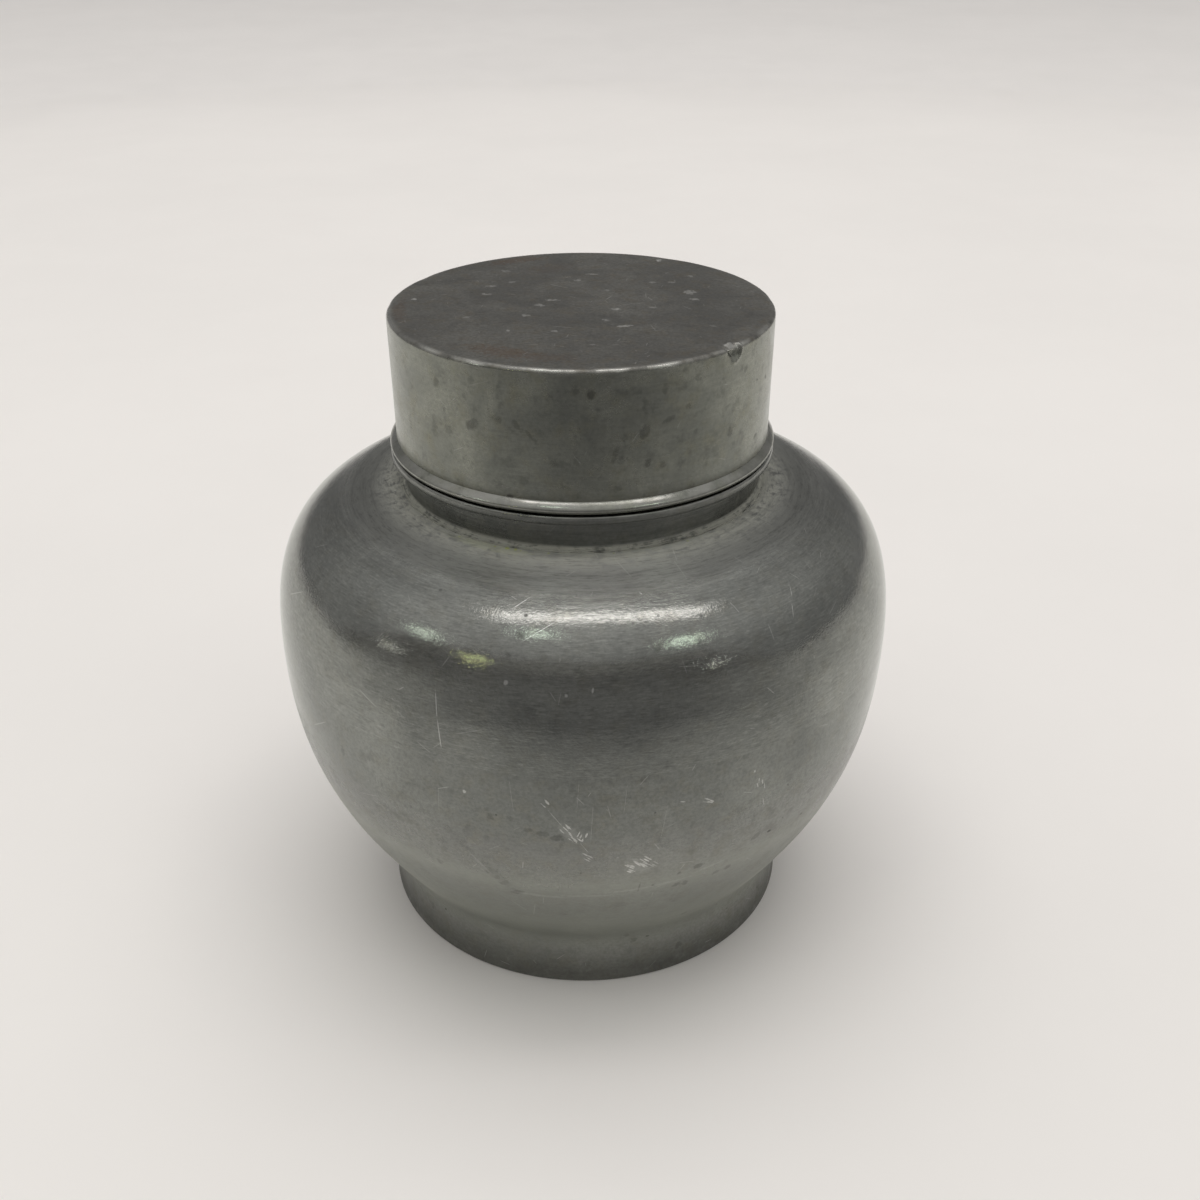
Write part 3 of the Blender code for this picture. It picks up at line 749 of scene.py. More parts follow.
# Neck: the mouth tube, the lip that the lid stands on, the band below it and the tenon
neck = named({
    "tube": 27.4, "mouth": 25.6, "mouthRound": 0.3, "top": 93.2, "topRound": 0.4,
    "lip": 30.2, "lipTop": 83.4, "lipRound": 0.5, "lipHeight": 1.3, "lipUnder": 0.2,
    "band": 28.3, "flare": 0.79, "tenon": 26.7, "tenonEnd": 73.0, "sunk": 0.1,
    "steps": 400, "unevenness": 0.02,
})
flareFoot = rootHeight + 0.06
lipLow = neck.lipTop - neck.lipHeight
neckProfile = np.vstack((
    rounded(neck.tube, neck.top, neck.topRound, 90, 0, 6),
    uprightRun(neck.tube, neck.top - neck.topRound, neck.lipTop, 0.8)[1:],
    rounded(neck.lip, neck.lipTop, neck.lipRound, 90, 0, 9),
    uprightRun(neck.lip, neck.lipTop - neck.lipRound, lipLow + neck.lipUnder, 0.3)[1:],
    rounded(neck.lip, lipLow, neck.lipUnder, 0, -90, 4)[1:],
    uprightRun(neck.band, lipLow, flareFoot + neck.flare, 0.5),
    rounded(neck.band, flareFoot, neck.flare, 180, 270, 16)[1:],
    [(neck.band + neck.flare, flareFoot - neck.sunk), (neck.tenon, neckRoot - neck.sunk)],
    levelRun(neck.tenonEnd, neck.tenon, neck.mouth, 2.0),
    uprightRun(neck.mouth, neck.tenonEnd + 0.5, neck.top - neck.mouthRound, 1.5),
    rounded(neck.mouth, neck.top, neck.mouthRound, 180, 90, 4)[1:],
))


# the lip and the band waver slightly round the neck, by seeded cosines that ease out at the flare
def neckLift(angle, profile, along):
    onBand = (profile[:, :1] > neck.band - 0.01) * ease(profile[:, 1:], flareFoot + 0.3, flareFoot + 1.6)
    return neck.unevenness * (waviness(angle, along, 9, (3, 5, 8, 13), (9, 6, 5, 4)) - 1) * onBand


# wear in a bell curve on the lip's edge, grime in the corners over and under it, dust at the flare's foot
def neckTraits(profile, along):
    radius, height = profile.T
    onCollar = radius > neck.tube + 0.1
    wear = 0.3 * bell(height - neck.lipTop + 0.25, 0.3) * (radius > neck.lip - 0.4) + 0.3 * (height > 92.7)
    under = 0.6 * bell(height - neck.lipTop + neck.lipHeight, 0.3) * (radius < neck.lip - 0.1) * onCollar
    over = 0.95 * bell(height - neck.lipTop, 0.9) * (radius < neck.lip - 0.5) * (height > neck.lipTop - 0.1)
    dust = ease(height, flareFoot + 0.8, flareFoot + 0.3) * onCollar
    return {"wear": np.clip(wear, 0, 1), "grime": np.clip(under + over, 0, 1), "dust": dust,
            "matt": 1.5 * dust}


neckFinish = pewterFinish("neckPewter", {
    **pewterLook, "dark": (0.17, 0.175, 0.165), "light": (0.235, 0.24, 0.225), "ringScale": 2.2,
    "smooth": 0.26, "rough": 0.38, "hairs": 0.08,
})
neckCollar = turnedPiece("neckCollarTurned", neckProfile, neck.steps, neckLift, neckTraits)
settle(neckCollar, "jar", "neck_collar", neckFinish)


# Outer lid: a skirt that narrows to its rim, a flat top with a knocked edge and a half-round bead
lid = named({
    "radius": 29.4, "rim": 29.2, "bore": 27.7, "boreRound": 0.2, "rebate": 28.45, "steps": 720,
    "top": 105.0, "topSink": 0.28, "edgeRound": 0.7, "meetsAt": 103.25, "rimHeight": 83.7, "unevenness": 0.02,
    "beadTop": 85.3, "beadProud": 1.06, "beadFlat": 0.34, "beadSlope": (0.20, 0.130), "beadWaver": 0.03,
    "nickAngle": 46.5, "nickSpread": 5.0, "nickSteps": 130, "nickDepth": 0.6, "nickReach": 1.2,
    "nickCrease": 0.2, "flap": 0.42, "burr": 0.26,
    # bearing, depth and reach
    "edgeDents": ((-29.5, 0.14, 1.0), (-21, 0.04, 2.4), (-7.5, 0.06, 0.9), (3.5, 0.04, 1.6),
                  (10.5, 0.07, 0.8), (21.5, 0.05, 1.8), (33, 0.04, 1.4), (-58, 0.05, 1.6),
                  (95, 0.06, 1.6), (150, 0.05, 2.2), (-120, 0.07, 1.6), (-92, 0.05, 1.2)),
})
skirtWall = np.vstack((
    runThrough([(lid.radius, lid.meetsAt), (lid.radius - 0.03, lid.meetsAt - 2.7)], 0.3),
    runThrough([(lid.radius - 0.035, lid.meetsAt - 3.2), (lid.rim, lid.beadTop - 0.1)], 0.6),
))
skirtProfile = np.vstack((
    skirtWall,
    [(lid.rebate, lid.beadTop - 0.1)],
    levelRun(lid.rimHeight, lid.rebate, lid.bore + lid.boreRound, 0.5),
    rounded(lid.bore, lid.rimHeight, lid.boreRound, -90, -180, 4)[1:],
    uprightRun(lid.bore, lid.rimHeight + 0.6, lid.meetsAt, 1.2),
))
topFace = lid.top - lid.topSink
lidTopProfile = np.vstack((
    levelRun(topFace, 0, 24.0, 1.0),
    levelRun(topFace, 24.4, 26.8, 0.4),
    levelRun(topFace, 27.0, lid.radius - lid.edgeRound, 0.15)[:-1],
    rounded(lid.radius, topFace, lid.edgeRound, 90, 0, 14),
    uprightRun(lid.radius, topFace - lid.edgeRound - 0.1, lid.meetsAt, 0.1),
    levelRun(lid.meetsAt, lid.bore, 0, 1.6),
))
edgeAlong = walked(lidTopProfile)[np.argmax(lidTopProfile[:, 0] >= lid.radius - 0.01)] - 0.55
lidTopRows = np.argmax(lidTopProfile[:, 1] <= lid.meetsAt + tiny) + 1
lidTopLength = walked(lidTopProfile)[lidTopRows - 1]
nickAngles = np.radians(lid.nickAngle + lid.nickSpread * np.linspace(-1, 1, lid.nickSteps))


# knocks on the lid: the nick is a bell-shaped dish on the edge with a crease across it, a flap of metal
# pushed up over the top and a burr round its lower right; smaller dents take a little off the edge,
# and a slow wave keeps the wall from looking machine-made
def lidLift(angle, profile, along):
    aside = bearingFrom(angle, lid.nickAngle) * lid.radius
    down = along - edgeAlong
    onTop = profile[0, 0] == 0
    push = lid.unevenness * (waviness(angle, along, 31, (2, 3, 4, 9), (70, 45, 30, 18)) - 1)
    push = push * ease(along, 3, 12)
    push = push - lid.nickDepth * bell(np.hypot(aside, down - 0.5), lid.nickReach)
    slant, across = aside * 0.65 + down * 0.76, aside * 0.76 - down * 0.65
    push = push - lid.nickCrease * bell(across + 0.9, 0.26) * bell(slant - 0.2, 1.2)
    push = push + lid.flap * bell(aside - 0.1, 1.0) * bell(down + 1.0, 0.42)
    ring = bell(np.hypot(aside, down - 0.5) - 1.65, 0.3)
    push = push + lid.burr * ring * ease(aside + 0.5 * down, 0.2, 1.5)
    for degrees, depth, reach in lid.edgeDents:
        push = push - depth * bell(bearingFrom(angle, degrees) * lid.radius, reach) * bell(down, 0.7)
    if onTop:
        push = np.minimum(push, lid.topSink)
    return push * firstRows(profile, lidTopRows if onTop else len(skirtWall))[:, None]


# the wall darker and matt in bell curves above the bead
def skirtTraits(profile, along):
    outside = firstRows(profile, len(skirtWall))
    above = profile[:, 1] - lid.beadTop
    grime = outside * 0.3 * bell(above, 0.3) + ~outside * 0.15
    return {"grime": grime, "matt": outside * 1.2 * bell(above, 1.2)}


# wear in a bell curve on the knocked edge
def lidTopTraits(profile, along):
    return {"wear": 0.9 * bell(along - edgeAlong, 0.45) * (profile[:, 1] > lid.meetsAt + 0.3)}


# marks on the lid's wall by angle and height; the height becomes distance down the profile
def lidWallMarks(marks):
    return [(angle, lidTopLength + lid.meetsAt - height, *rest) for angle, height, *rest in marks]


# marks on the top by angle and radius, turned back by their angle so that they lie from side to side
def acrossTop(marks):
    return [(angle, radius, angle - 90 + tilt, *rest) for angle, radius, tilt, *rest in marks]


lidWallStains = lidWallMarks((
    (2.4, 101.2, 0, 1.5, 1.3, 0.55), (17.1, 95.3, 20, 2.2, 1.7, 0.42), (46.5, 92.0, 0, 1.8, 1.3, 0.39),
    (-31.6, 95.4, 60, 2.8, 1.5, 0.39), (18.1, 90.6, 10, 1.5, 1.0, 0.42), (61.4, 88.8, 70, 1.5, 0.7, 0.48),
    (-18.0, 96.4, -30, 1.8, 0.9, 0.36), (8.8, 92.3, 15, 3.0, 0.9, 0.29), (-44.0, 100.2, 20, 1.6, 1.3, 0.32),
    (-22.8, 96.8, 0, 1.1, 0.9, 0.29), (24.0, 96.6, 70, 2.5, 1.0, 0.32), (30.0, 98.0, 0, 1.1, 1.0, 0.26),
    (22.5, 90.0, 0, 1.1, 0.9, 0.29), (52.5, 100.6, 40, 1.4, 1.1, 0.32), (-14.5, 95.2, -40, 1.7, 0.6, 0.32),
    (64.0, 99.0, 0, 1.4, 0.9, 0.26), (-8.0, 91.0, 10, 1.4, 1.0, 0.20), (33.0, 94.0, 20, 1.1, 0.9, 0.23),
))
lidTopScratches = acrossTop((
    (-124.0, 17.1, 8, 1.6, 0.9, 0.31), (-136.9, 16.0, -12, 1.4, 0.8, 0.31),
    (-109.9, 15.7, 15, 1.8, 0.9, 0.35), (173.6, 16.0, 0, 1.9, 0.7, 0.33),
    (-177.1, 12.6, 10, 1.5, 0.8, 0.33), (62.6, 5.9, 0, 1.4, 1.2, 0.43), (30.4, 12.5, -14, 2.6, 0.9, 0.43),
    (24.5, 8.7, 12, 1.4, 1.0, 0.35), (-16.4, 13.4, -6, 1.2, 1.0, 0.31), (-56.9, 9.8, 0, 1.3, 1.3, 0.35),
    (-85.7, 6.4, 20, 1.6, 1.1, 0.39), (-114.3, 4.9, 10, 2.4, 0.9, 0.39), (134.8, 15.9, -8, 1.2, 0.9, 0.31),
    (127.6, 18.2, 10, 1.4, 0.8, 0.31), (151.4, 27.2, 0, 0.9, 1.6, 0.62), (108.6, 17.9, 0, 2.0, 2.2, 0.39),
    (96.8, 17.4, 18, 1.6, 1.2, 0.35), (-96.6, 25.8, 0, 0.9, 1.0, 0.47), (129.4, 22.7, 0, 1.0, 1.0, 0.27),
    (-145.5, 21.8, 10, 1.6, 1.0, 0.27), (-40.0, 16.4, 0, 0.7, 0.8, 0.47), (60.0, 22.0, 30, 1.2, 0.5, 0.23),
    (-70.0, 18.0, -20, 1.3, 0.7, 0.27), (5.0, 19.0, 15, 1.4, 0.6, 0.23), (80.0, 11.0, 25, 1.2, 0.8, 0.27),
    (150.0, 8.0, 10, 1.2, 0.7, 0.27), (46.4, edgeAlong - 0.7, 0, 1.6, 1.6, 0.39),
))
lidTopBrown = (
    (-26.0, 24.3, 88, 12.0, 4.2, 0.36), (-12.0, 24.6, 90, 9.0, 3.4, 0.24),
    (-156.0, 26.6, 90, 11.0, 3.2, 0.40), (-84.0, 27.4, 90, 11.0, 2.2, 0.28),
    (-165.0, 20.0, 80, 9.0, 5.0, 0.15),
)

lidLook = {
    **pewterLook, "dark": (0.215, 0.222, 0.200), "light": (0.310, 0.315, 0.275),
    "cast": (0.240, 0.232, 0.172), "ringShade": 0.07, "ringDepth": 0.15, "mottle": 0.6, "cloudScale": 0.085,
    "mottleScale": 0.28, "girth": 29.0, "smooth": 0.18, "rough": 0.31, "blotch": 0.45,
    "fineShade": 0.05, "hairs": 0.18,
}
lidWallLook = {**lidLook, "grimeAndShadeColour": (0.055, 0.045, 0.022)}
lidWallFinish = pewterFinish("lidWallPewter", lidWallLook, (), lidWallStains)
lidTopFinish = pewterFinish("lidTopPewter", {
    **lidLook, "dark": (0.182, 0.179, 0.166), "light": (0.252, 0.248, 0.230), "cast": (0.215, 0.192, 0.152),
    "grit": 0.65, "ringShade": 0.02, "fineShade": 0.02, "ringDepth": 0.08, "flat": True, "cutSize": 5.0,
    "blotch": 0.34, "wearGloss": 0.3, "smooth": 0.38, "rough": 0.52, "hairs": 0.36, "pits": 0.3,
    "mottleDepth": 0.7, "ragged": 5.0, "mottle": 0.8, "mottleScale": 0.5,
}, lidTopScratches, (), lidTopBrown)
skirt = turnedPiece("lidSkirtTurned", skirtProfile, lid.steps, lidLift, skirtTraits, lidTopLength,
                    crowd=nickAngles)
settle(skirt, "lid", "lid_skirt", lidWallFinish)
lidTop = turnedPiece("lidTopTurned", lidTopProfile, lid.steps, lidLift, lidTopTraits, closed=False,
                     crowd=nickAngles)
settle(lidTop, "lid", "lid_top", lidTopFinish)

# below the knocked edge the disc carries the finish of the wall
lidTop.data.materials.append(lidWallFinish)
middles = np.empty(len(lidTop.data.polygons) * 3, np.float32)
lidTop.data.polygons.foreach_get("center", middles)
onWall = (middles[2::3] < (topFace - 0.45) * mm).astype(np.int32)
lidTop.data.polygons.foreach_set("material_index", onWall)

beadOut = lid.rim + lid.beadProud
beadWidest = (beadOut, (lid.beadTop + lid.rimHeight) / 2 - 0.2)
slopeWide, slopeFall = lid.beadSlope
slopeEnd = np.array((lid.rim + slopeWide, lid.beadTop - slopeFall))
slopeDrop = lid.beadProud * slopeFall / slopeWide  # fall of the slope over the bead's whole width
slopeCorner = np.array((beadOut, lid.beadTop - slopeDrop))
beadProfile = np.vstack((
    runThrough([(lid.rim, lid.beadTop), slopeEnd], 0.06)[:-1],
    pulledCurve(slopeEnd, slopeEnd + 0.6 * (slopeCorner - slopeEnd), slopeCorner - (0, 0.12), beadWidest, 26),
    pulledCurve(beadWidest, (beadOut, lid.rimHeight + 0.2), (beadOut - 0.1, lid.rimHeight),
                (beadOut - lid.beadFlat, lid.rimHeight), 22)[1:],
    [(lid.rebate + 0.05, lid.rimHeight), (lid.rebate + 0.05, lid.beadTop)],
))


# the bead is drawn by hand: seeded cosines thicken and thin it a little round the rim
def beadLift(angle, profile, along):
    outer = profile[:, :1] > lid.rim + 0.05
    return lid.beadWaver * (waviness(angle, along, 17, (3, 5, 8, 11), (90, 70, 60, 50)) - 1) * outer


# wear that eases in above the rim, painted shade in a bell curve at its lower edge, over the gap below
def beadTraits(profile, along):
    radius, height = profile.T
    wear = 0.8 * (radius > lid.rim - 0.01) * ease(height, lid.rimHeight, lid.rimHeight + 0.4)
    return {"wear": wear, "grime": 0.8 * bell(height - lid.rimHeight, 0.08), "ringed": 0.1}


# the bead's dark colour at its lower edge is the colour of that painted shade
beadFinish = pewterFinish("beadPewter", {
    **lidLook, "ringScale": 3.0, "ringShade": 0.12, "smooth": 0.20, "rough": 0.27,
    "rubbed": (0.34, 0.34, 0.32), "grimeAndShadeColour": (0.040, 0.034, 0.018),
})
bead = turnedPiece("lidBeadTurned", beadProfile, lid.steps, beadLift, beadTraits)
settle(bead, "lid", "lid_bead", beadFinish)


# Inner lid: a plate over the mouth, its plug and the knob riveted through it
inner = named({
    "plate": 27.0, "plateLow": 93.5, "plateHigh": 95.1, "plateEdge": 0.4, "plateUnder": 0.15, "hole": 2.0,
    "plug": 25.3, "plugBore": 24.0, "plugEnd": 85.2, "plugRound": 0.2, "lead": 0.5, "gap": 0.02,
    "knobLow": 95.4, "knobHeight": 6.8, "knobCap": 3.6, "knobRadius": 5.4, "waist": 2.7,
    "knobFoot": 3.8, "knobFootHeight": 0.9, "knobFootRound": 0.15,
    "shank": 1.7, "shankOut": 0.3, "head": 2.7, "headHeight": 0.8, "headRound": 0.5,
    "steps": 360, "knobSteps": 128, "ringHeight": 0.012,
})
innerLook = {
    **pewterLook, "dark": (0.27, 0.275, 0.262), "light": (0.345, 0.35, 0.332), "smooth": 0.2, "rough": 0.32,
    "pits": 0.3, "ringShade": 0.22, "mottle": 0.3, "girth": 25.0,
}
plateProfile = np.vstack((
    levelRun(inner.plateHigh, inner.hole, inner.plate - inner.plateEdge, 0.8)[:-1],
    rounded(inner.plate, inner.plateHigh, inner.plateEdge, 90, 0, 7),
    uprightRun(inner.plate, inner.plateHigh - inner.plateEdge, inner.plateLow + inner.plateUnder, 0.4)[1:-1],
    rounded(inner.plate, inner.plateLow, inner.plateUnder, 0, -90, 4),
    levelRun(inner.plateLow, inner.plate - 0.6, inner.hole, 1.4),
))


# tool rings on the plate's upper face, which ease in outside the knob
def plateLift(angle, profile, along):
    onTop = (profile[:, 1:] > inner.plateHigh - 0.01) * ease(profile[:, :1], 4.2, 6.0)
    return inner.ringHeight * (toolRings(along, 41, 1.4) - 1) * onTop + 0 * angle


# wear in a bell curve on the upper edge, grime in another round the knob's foot
def plateTraits(profile, along):
    radius, height = profile.T
    wear = 0.6 * bell(height - inner.plateHigh + 0.15, 0.3) * (radius > inner.plate - 0.6)
    grime = 0.8 * bell(radius - inner.knobFoot, 0.9) * (height > inner.plateHigh - 0.1)
    return {"wear": wear, "grime": grime}


innerFinish = pewterFinish("innerLidPewter", innerLook)
plate = turnedPiece("innerLidPlateTurned", plateProfile, inner.steps, plateLift, plateTraits)
settle(plate, "inner_lid", "inner_lid_plate", innerFinish)

plugTop = inner.plateLow - inner.gap
leadTop = (inner.plug, inner.plugEnd + inner.lead)
plugProfile = np.vstack((
    uprightRun(inner.plug, plugTop, leadTop[1], 0.8),
    pulledCurve(leadTop, (inner.plug, inner.plugEnd + 0.2), (inner.plug - 0.2, inner.plugEnd),
                (inner.plug - inner.lead, inner.plugEnd), 6)[1:],
    rounded(inner.plugBore, inner.plugEnd, inner.plugRound, -90, -180, 4),
    uprightRun(inner.plugBore, inner.plugEnd + 0.6, plugTop, 1.2),
))


# wear in a bell curve at the plug's end, grime in another under the plate
def plugTraits(profile, along):
    height = profile[:, 1]
    return {"wear": 0.5 * bell(height - inner.plugEnd - 0.3, 0.5), "grime": 0.5 * bell(height - 93.4, 0.6)}


plug = turnedPiece("innerLidPlugTurned", plugProfile, inner.steps, None, plugTraits)
settle(plug, "inner_lid", "inner_lid_plug", innerFinish)

knobTop = inner.knobLow + inner.knobHeight
capEnd = -np.degrees(np.arccos(inner.waist / inner.knobRadius))
knobCap = roundOff((0, knobTop - inner.knobCap / 2), inner.knobRadius, inner.knobCap / 2, 90, capEnd, 30)
knobCap[0, 0] = 0
waistFoot = (inner.waist, inner.knobLow + inner.knobFootHeight)
shankTop = inner.plateHigh - inner.gap
shankEnd = inner.plateLow - inner.shankOut
headLow = shankEnd - inner.headHeight
knobProfile = np.vstack((
    knobCap,
    pulledCurve(knobCap[-1], waistFoot, waistFoot, (inner.knobFoot, waistFoot[1]), 14)[1:],
    rounded(inner.knobFoot, waistFoot[1], inner.knobFootRound, 90, 0, 4)[1:],
    [(inner.knobFoot, shankTop), (inner.shank, shankTop), (inner.shank, shankEnd + inner.shankOut)],
    roundOff((inner.head - inner.shankOut, shankEnd), inner.shankOut, inner.shankOut, 90, 0, 4),
    rounded(inner.head, headLow, inner.headRound, 0, -90, 5),
    [(0, headLow)],
))


# wear in a bell curve on the cap's widest part, grime in another at the waist's foot
def knobTraits(profile, along):
    radius, height = profile.T
    wear = 0.7 * bell(radius - inner.knobRadius, 0.7) * (height > 98)
    grime = 0.7 * bell(height - waistFoot[1], 0.7) * (radius < inner.knobFoot)
    return {"wear": wear, "grime": grime}


knobLook = {**innerLook, "ringScale": 2.6, "pitSize": 2.0, "mottleScale": 0.8, "girth": 5.0}
knobFinish = pewterFinish("knobPewter", knobLook)
knob = turnedPiece("innerLidKnobTurned", knobProfile, inner.knobSteps, None, knobTraits, closed=False)
settle(knob, "inner_lid", "inner_lid_knob", knobFinish)


# Solder: a hollow fillet in the corner between a wall and a flat piece, uneven as it ran
solder = named({
    "leg": 1.4, "hollow": 0.35, "steps": 300, "lumps": 0.10, "grime": 0.35,
    # piece, node, body, radius of the wall, height of the flat, inside the wall, above the flat, seed
    "runs": (
        ("baseSolderRun", "base_solder", "jar", 32.7, 4.72, True, True, 51),
        ("neckSolderRun", "neck_solder", "jar", 27.0, 75.1, False, False, 52),
        ("plugSolderRun", "plug_solder", "inner_lid", 23.98, 93.48, True, False, 53),
        ("lidSolderRun", "lid_solder", "lid", 27.68, 103.24, True, False, 54),
    ),
})
solderFinish = pewterFinish("oldSolder", {
    **pewterLook, "dark": (0.30, 0.30, 0.285), "light": (0.40, 0.40, 0.385), "smooth": 0.36, "rough": 0.52,
    "ringShade": 0.05, "mottleScale": 0.9, "pitSize": 1.8, "hairs": 0.0,
})


# the fillet's section runs from the wall to the flat on a curve pulled into the corner
def solderRing(name, node, body, wall, flat, inward, upward, seed):
    side = -1 if inward else 1
    rise = 1 if upward else -1
    corner = np.array((wall, flat), float)
    onWall = np.array((wall, flat + rise * solder.leg))
    onFlat = np.array((wall + side * solder.leg, flat))
    pull = corner + solder.hollow * (onWall - corner) + solder.hollow * (onFlat - corner)
    face = pulledCurve(onWall, pull, pull, onFlat, 12)
    profile = np.vstack((face if side == rise else face[::-1], [corner]))

    # lumps: seeded cosines, strongest in the middle of the section by a sine
    def lumps(angle, profile, along):
        held = np.sin(np.linspace(0, np.pi, len(profile)))[:, None]
        return solder.lumps * (waviness(angle, along, seed, (9, 17, 29, 41), (6, 4, 5, 3)) - 0.6) * held

    ring = turnedPiece(name, profile, solder.steps, lumps, lambda profile, along: {"grime": solder.grime})
    settle(ring, body, node, solderFinish)


for run in solder.runs:
    solderRing(*run)


# Floor: a wide pale disc, its rings spread further apart away from the middle
floor = named({"radius": 9.0, "rings": 60, "spread": 2.2, "steps": 96,
               "colour": (0.89, 0.865, 0.845), "warm": 0.975})


# the radius of a ring grows with the power of its place from 0 to 1
def paleFloor():
    radius = floor.radius * np.linspace(0, 1, floor.rings)**floor.spread / mm
    disc = np.column_stack((radius, np.zeros(len(radius))))
    piece = turnedPiece("paleFloor", disc, floor.steps, closed=False)
    material, tree, shader = newMaterial("palePaint", 0.2)
    local = tree.nodes.new("ShaderNodeTexCoord").outputs["Object"]
    cloud = between(grain(local, 7.0, 5, 0.6), 0.3, 0.7)
    warm = [floor.warm * c for c in floor.colour]
    feed(shader["Base Color"], tint(cloud, floor.colour, warm))
    feed(shader["Roughness"], between(grain(local, 40.0, 3), 0.3, 0.7, 0.5, 0.6))
    piece.data.materials.append(material)


# Flag: a ring of cloth on the floor that only reflections see, dark before the object, where it curls up
# towards the camera's side, and as pale as the floor behind it
flag = named({
    "near": 0.075, "far": 0.50, "sideFar": 0.90, "high": 0.42, "offFloor": 0.0006, "towards": (9.0, -10.0),
    "columns": 97, "rows": 33, "dark": (0.20, 0.20, 0.205), "pale": (0.87, 0.86, 0.83),
    # radii, and how pale the inner edge is at each
    "fadeAt": (0.075, 0.085, 0.10, 0.12, 0.16, 0.20, 0.26),
    "fade": (0.85, 0.75, 0.55, 0.42, 0.20, 0.06, 0.0),
})


# radius = near + (far - near) * sin(v), height = high * (1 - cos(v)), v from 0 to a quarter turn; paleness is
# the largest of several smooth steps over the bearing off the front, the radius and v
def darkFlag():
    bearing, v = np.meshgrid(np.linspace(-180, 180, flag.columns), np.linspace(0, 1, flag.rows))
    off = np.abs(bearing)
    front = ease(off, 95, 45)
    far = flag.far + (flag.sideFar - flag.far) * ease(off, 45, 95)
    radius = flag.near + (far - flag.near) * np.sin(v * np.pi / 2)
    height = flag.offFloor + flag.high * (1 - np.cos(v * np.pi / 2)) * front
    turned = np.radians(bearing + np.interp(v, (0, 1), flag.towards))
    points = np.stack((radius * np.sin(turned), -radius * np.cos(turned), height), axis=-1).reshape(-1, 3)
    index = np.arange(bearing.size).reshape(bearing.shape)
    faces = np.stack((index[:-1, :-1], index[1:, :-1], index[1:, 1:], index[:-1, 1:]), axis=-1).reshape(-1, 4)
    piece = meshPiece("darkFlag", points, faces.tolist())

    edge = np.interp(radius, flag.fadeAt, flag.fade)
    edge = edge + (1 - edge) * 0.55 * ease(off, 5, 45) * ease(radius, 0.26, 0.12)
    paleness = np.maximum(ease(off - 20 * ease(v, 0.3, 0.6), -5, 127), edge)
    paleness = np.maximum(paleness, ease(v, 0.30, 0.05) * ease(off, 40, 75))
    paleness = np.maximum(paleness, 0.12 * ease(v, 0.1, 0.35))
    paleness = paleness * (1 - 0.65 * ease(v, 0.55, 0.95) * ease(off, 45, 95))
    paleness = np.maximum(paleness, 0.45 * ease(v, 0.62, 1.0) * front)
    pointTrait(piece, "paleness", paleness.ravel())
    material, tree, shader = newMaterial("darkCloth", 0.0)
    feed(shader["Base Color"], tint(trait(tree, "paleness"), flag.dark, flag.pale))
    shader["Roughness"].default_value = 0.9
    piece.data.materials.append(material)
    piece.visible_camera = False
    piece.visible_diffuse = False
    piece.visible_shadow = False


paleFloor()
darkFlag()
print("stage: floor and flag")


# Light: a soft dome, dimmer at the horizon than overhead, a long soft lamp across the ceiling, a panel
# behind, small lamps that the shoulder mirrors, and a wide lamp overhead that it doesn't
lighting = named({
    # height of the way up from 0 to 1, and level
    "dome": ((0.0, 0.22), (0.34, 0.26), (0.50, 0.32), (0.64, 0.42), (0.77, 0.54), (0.87, 0.64), (1.0, 0.78)),
    "warmth": (1.0, 0.985, 0.965),
    "sides": 1.55,
    "aim": 0.06,
    "steep": 80,
    # bearing from the camera's side, height above the horizon, distance, size, radiance, colour
    "lamps": (
        (90, 86, 1.5, (1.25, 0.24), 2.4, (1.0, 0.95, 0.94)),
        (178, 53, 1.5, (1.20, 0.55), 0.26, (1.0, 0.99, 0.97)),
        (-68, 37, 1.4, (0.18, 0.07), 3.6, (0.86, 1.0, 0.82)),
        (-34, 68, 1.4, (0.13, 0.08), 4.6, (0.84, 1.0, 0.84)),
        (46, 48, 1.4, (0.24, 0.09), 3.8, (0.84, 1.0, 0.82)),
        (-40, 28, 0.42, (0.014, 0.005), 42.0, (0.97, 1.0, 0.45)),
        (45, 18, 0.42, (0.011, 0.003), 40.0, (1.0, 1.0, 0.92)),
        (-69, 13, 0.42, (0.018, 0.008), 11.0, (1.0, 1.0, 0.92)),
    ),
    "ceiling": {"height": 2.2, "size": 2.5, "radiance": 1.0},
})


# the dome's level follows the height of the way up, and grows towards both sides by a smooth step
def softDome():
    world = bpy.data.worlds.new("softDome")
    bpy.context.scene.world = world
    world.use_nodes = True
    tree = world.node_tree
    background = tree.nodes["Background"].inputs
    x, _, z = parted(tree.nodes.new("ShaderNodeTexCoord").outputs["Generated"])
    ramp = newNode("ValToRGB", z)
    brightest = max(level for _, level in lighting.dome)
    stops = ramp.color_ramp.elements
    for place, _ in lighting.dome[1:-1]:
        stops.new(place)
    for stop, (place, level) in zip(stops, lighting.dome):
        stop.position = place
        stop.color = (*[level / brightest * w for w in lighting.warmth], 1)
    feed(background["Color"], ramp.outputs[0])
    aside = between(sums("ABSOLUTE", x), 0.4, 0.9, 1.0, lighting.sides)
    feed(background["Strength"], times(aside, brightest))


# a soft panel; its power is radiance times pi times its area
def areaLamp(name, size, radiance, colour):
    lamp = bpy.data.lights.new(name, "AREA")
    lamp.shape = "RECTANGLE"
    lamp.size, lamp.size_y = size
    lamp.energy = radiance * np.pi * size[0] * size[1]
    lamp.color = colour
    holder = bpy.data.objects.new(name, lamp)
    bpy.context.scene.collection.objects.link(holder)
    return holder


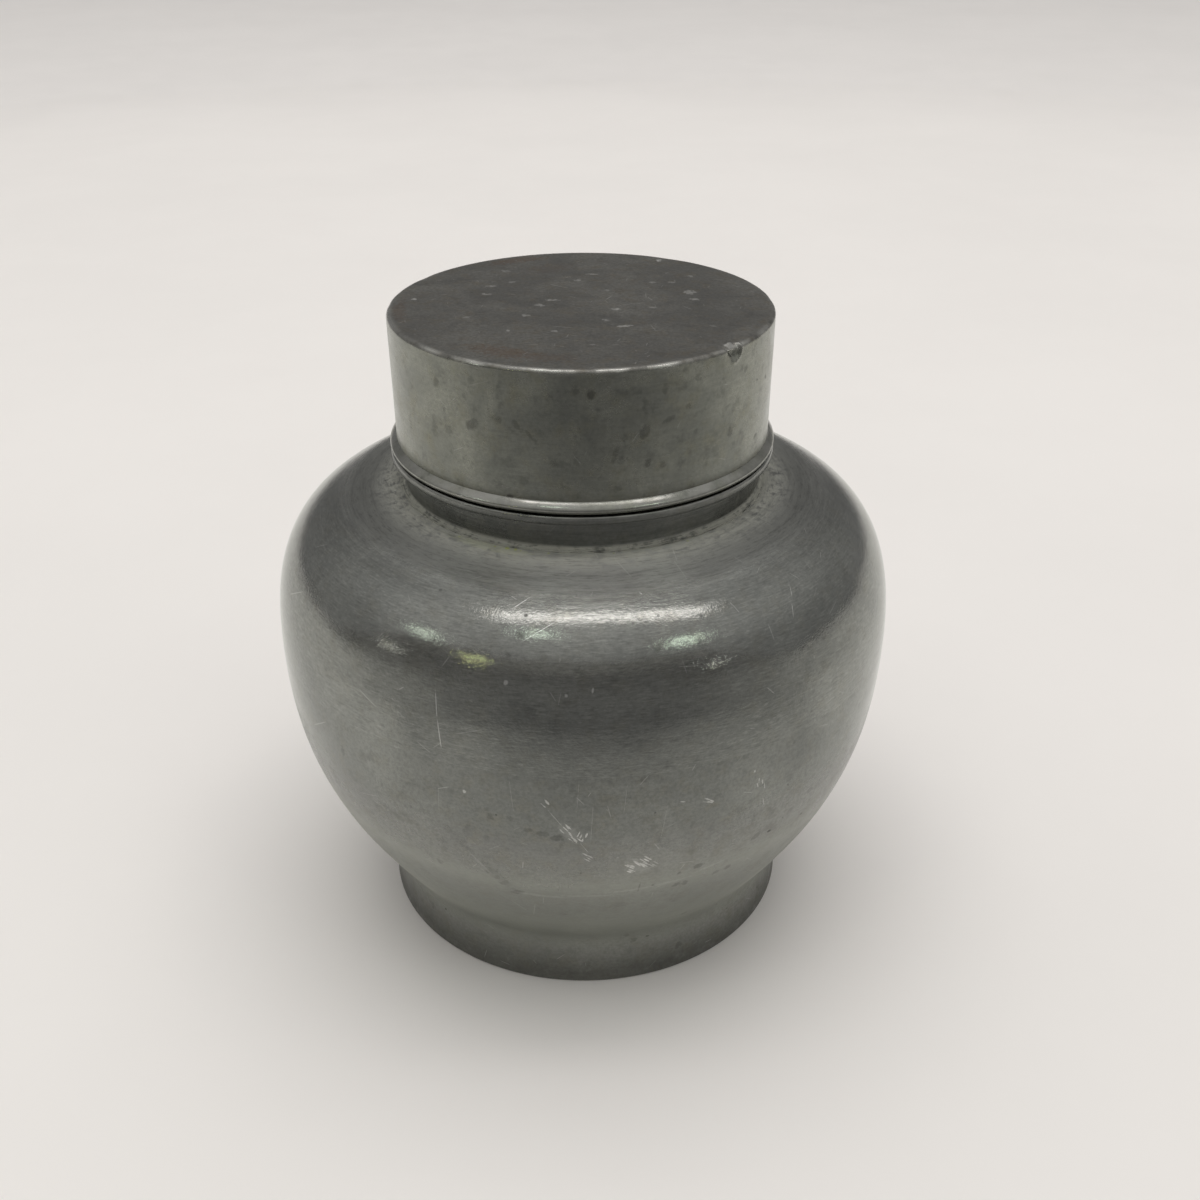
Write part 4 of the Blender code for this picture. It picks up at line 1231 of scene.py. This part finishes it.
# each lamp stands out along its bearing and rise and faces the jar, its length level where it can be
def softLamps():
    for place, (bearing, rise, distance, size, radiance, colour) in enumerate(lighting.lamps):
        turn, up = np.radians(bearing), np.radians(rise)
        way = Vector((np.sin(turn) * np.cos(up), -np.cos(turn) * np.cos(up), np.sin(up)))
        holder = areaLamp(f"softLamp{place}", size, radiance, colour)
        holder.location = way * distance + Vector((0, 0, lighting.aim))
        side = Vector((0, 0, 1)).cross(way) if rise < lighting.steep else Vector((1, 0, 0))
        across = (side - way * side.dot(way)).normalized()
        holder.rotation_euler = Matrix((across, way.cross(across), way)).transposed().to_euler()
        holder.visible_camera = False


# a wide lamp overhead that brightens the floor and softens its shadow; polished metal doesn't mirror it
def ceilingLamp():
    form = named(lighting.ceiling)
    holder = areaLamp("ceilingLamp", (form.size, form.size), form.radiance, lighting.warmth)
    holder.location = (0, 0, form.height)
    holder.visible_glossy = False


softDome()
softLamps()
ceilingLamp()
print("light: dome and", len(lighting.lamps), "lamps")


# Camera: stands before the jar and looks down at it; the angles were found from the photograph
camera = named({"place": (0.0, -0.204844, 0.168025), "pitch": 29.2697, "yaw": 0.7688, "roll": -0.1402,
                "lens": 41.477, "sensor": 36, "nearest": 0.01})


# forward from yaw and pitch, then right and up turned about it by the roll
def standCamera():
    pitch, yaw, roll = np.radians((camera.pitch, camera.yaw, camera.roll))
    forward = np.array((np.sin(yaw) * np.cos(pitch), np.cos(yaw) * np.cos(pitch), -np.sin(pitch)))
    level = np.array((np.cos(yaw), -np.sin(yaw), 0.0))
    upright = np.cross(level, forward)
    right = level * np.cos(roll) + upright * np.sin(roll)
    up = upright * np.cos(roll) - level * np.sin(roll)
    data = bpy.data.cameras.new("camera")
    data.lens = camera.lens
    data.sensor_width = camera.sensor
    data.clip_start = camera.nearest
    holder = bpy.data.objects.new("camera", data)
    turned = Matrix(np.column_stack((right, up, -forward)).tolist()).to_4x4()
    holder.matrix_world = Matrix.Translation(camera.place) @ turned
    bpy.context.scene.collection.objects.link(holder)
    bpy.context.scene.camera = holder


standCamera()
bpy.context.scene.view_settings.view_transform = "Standard"
print("camera: placed")
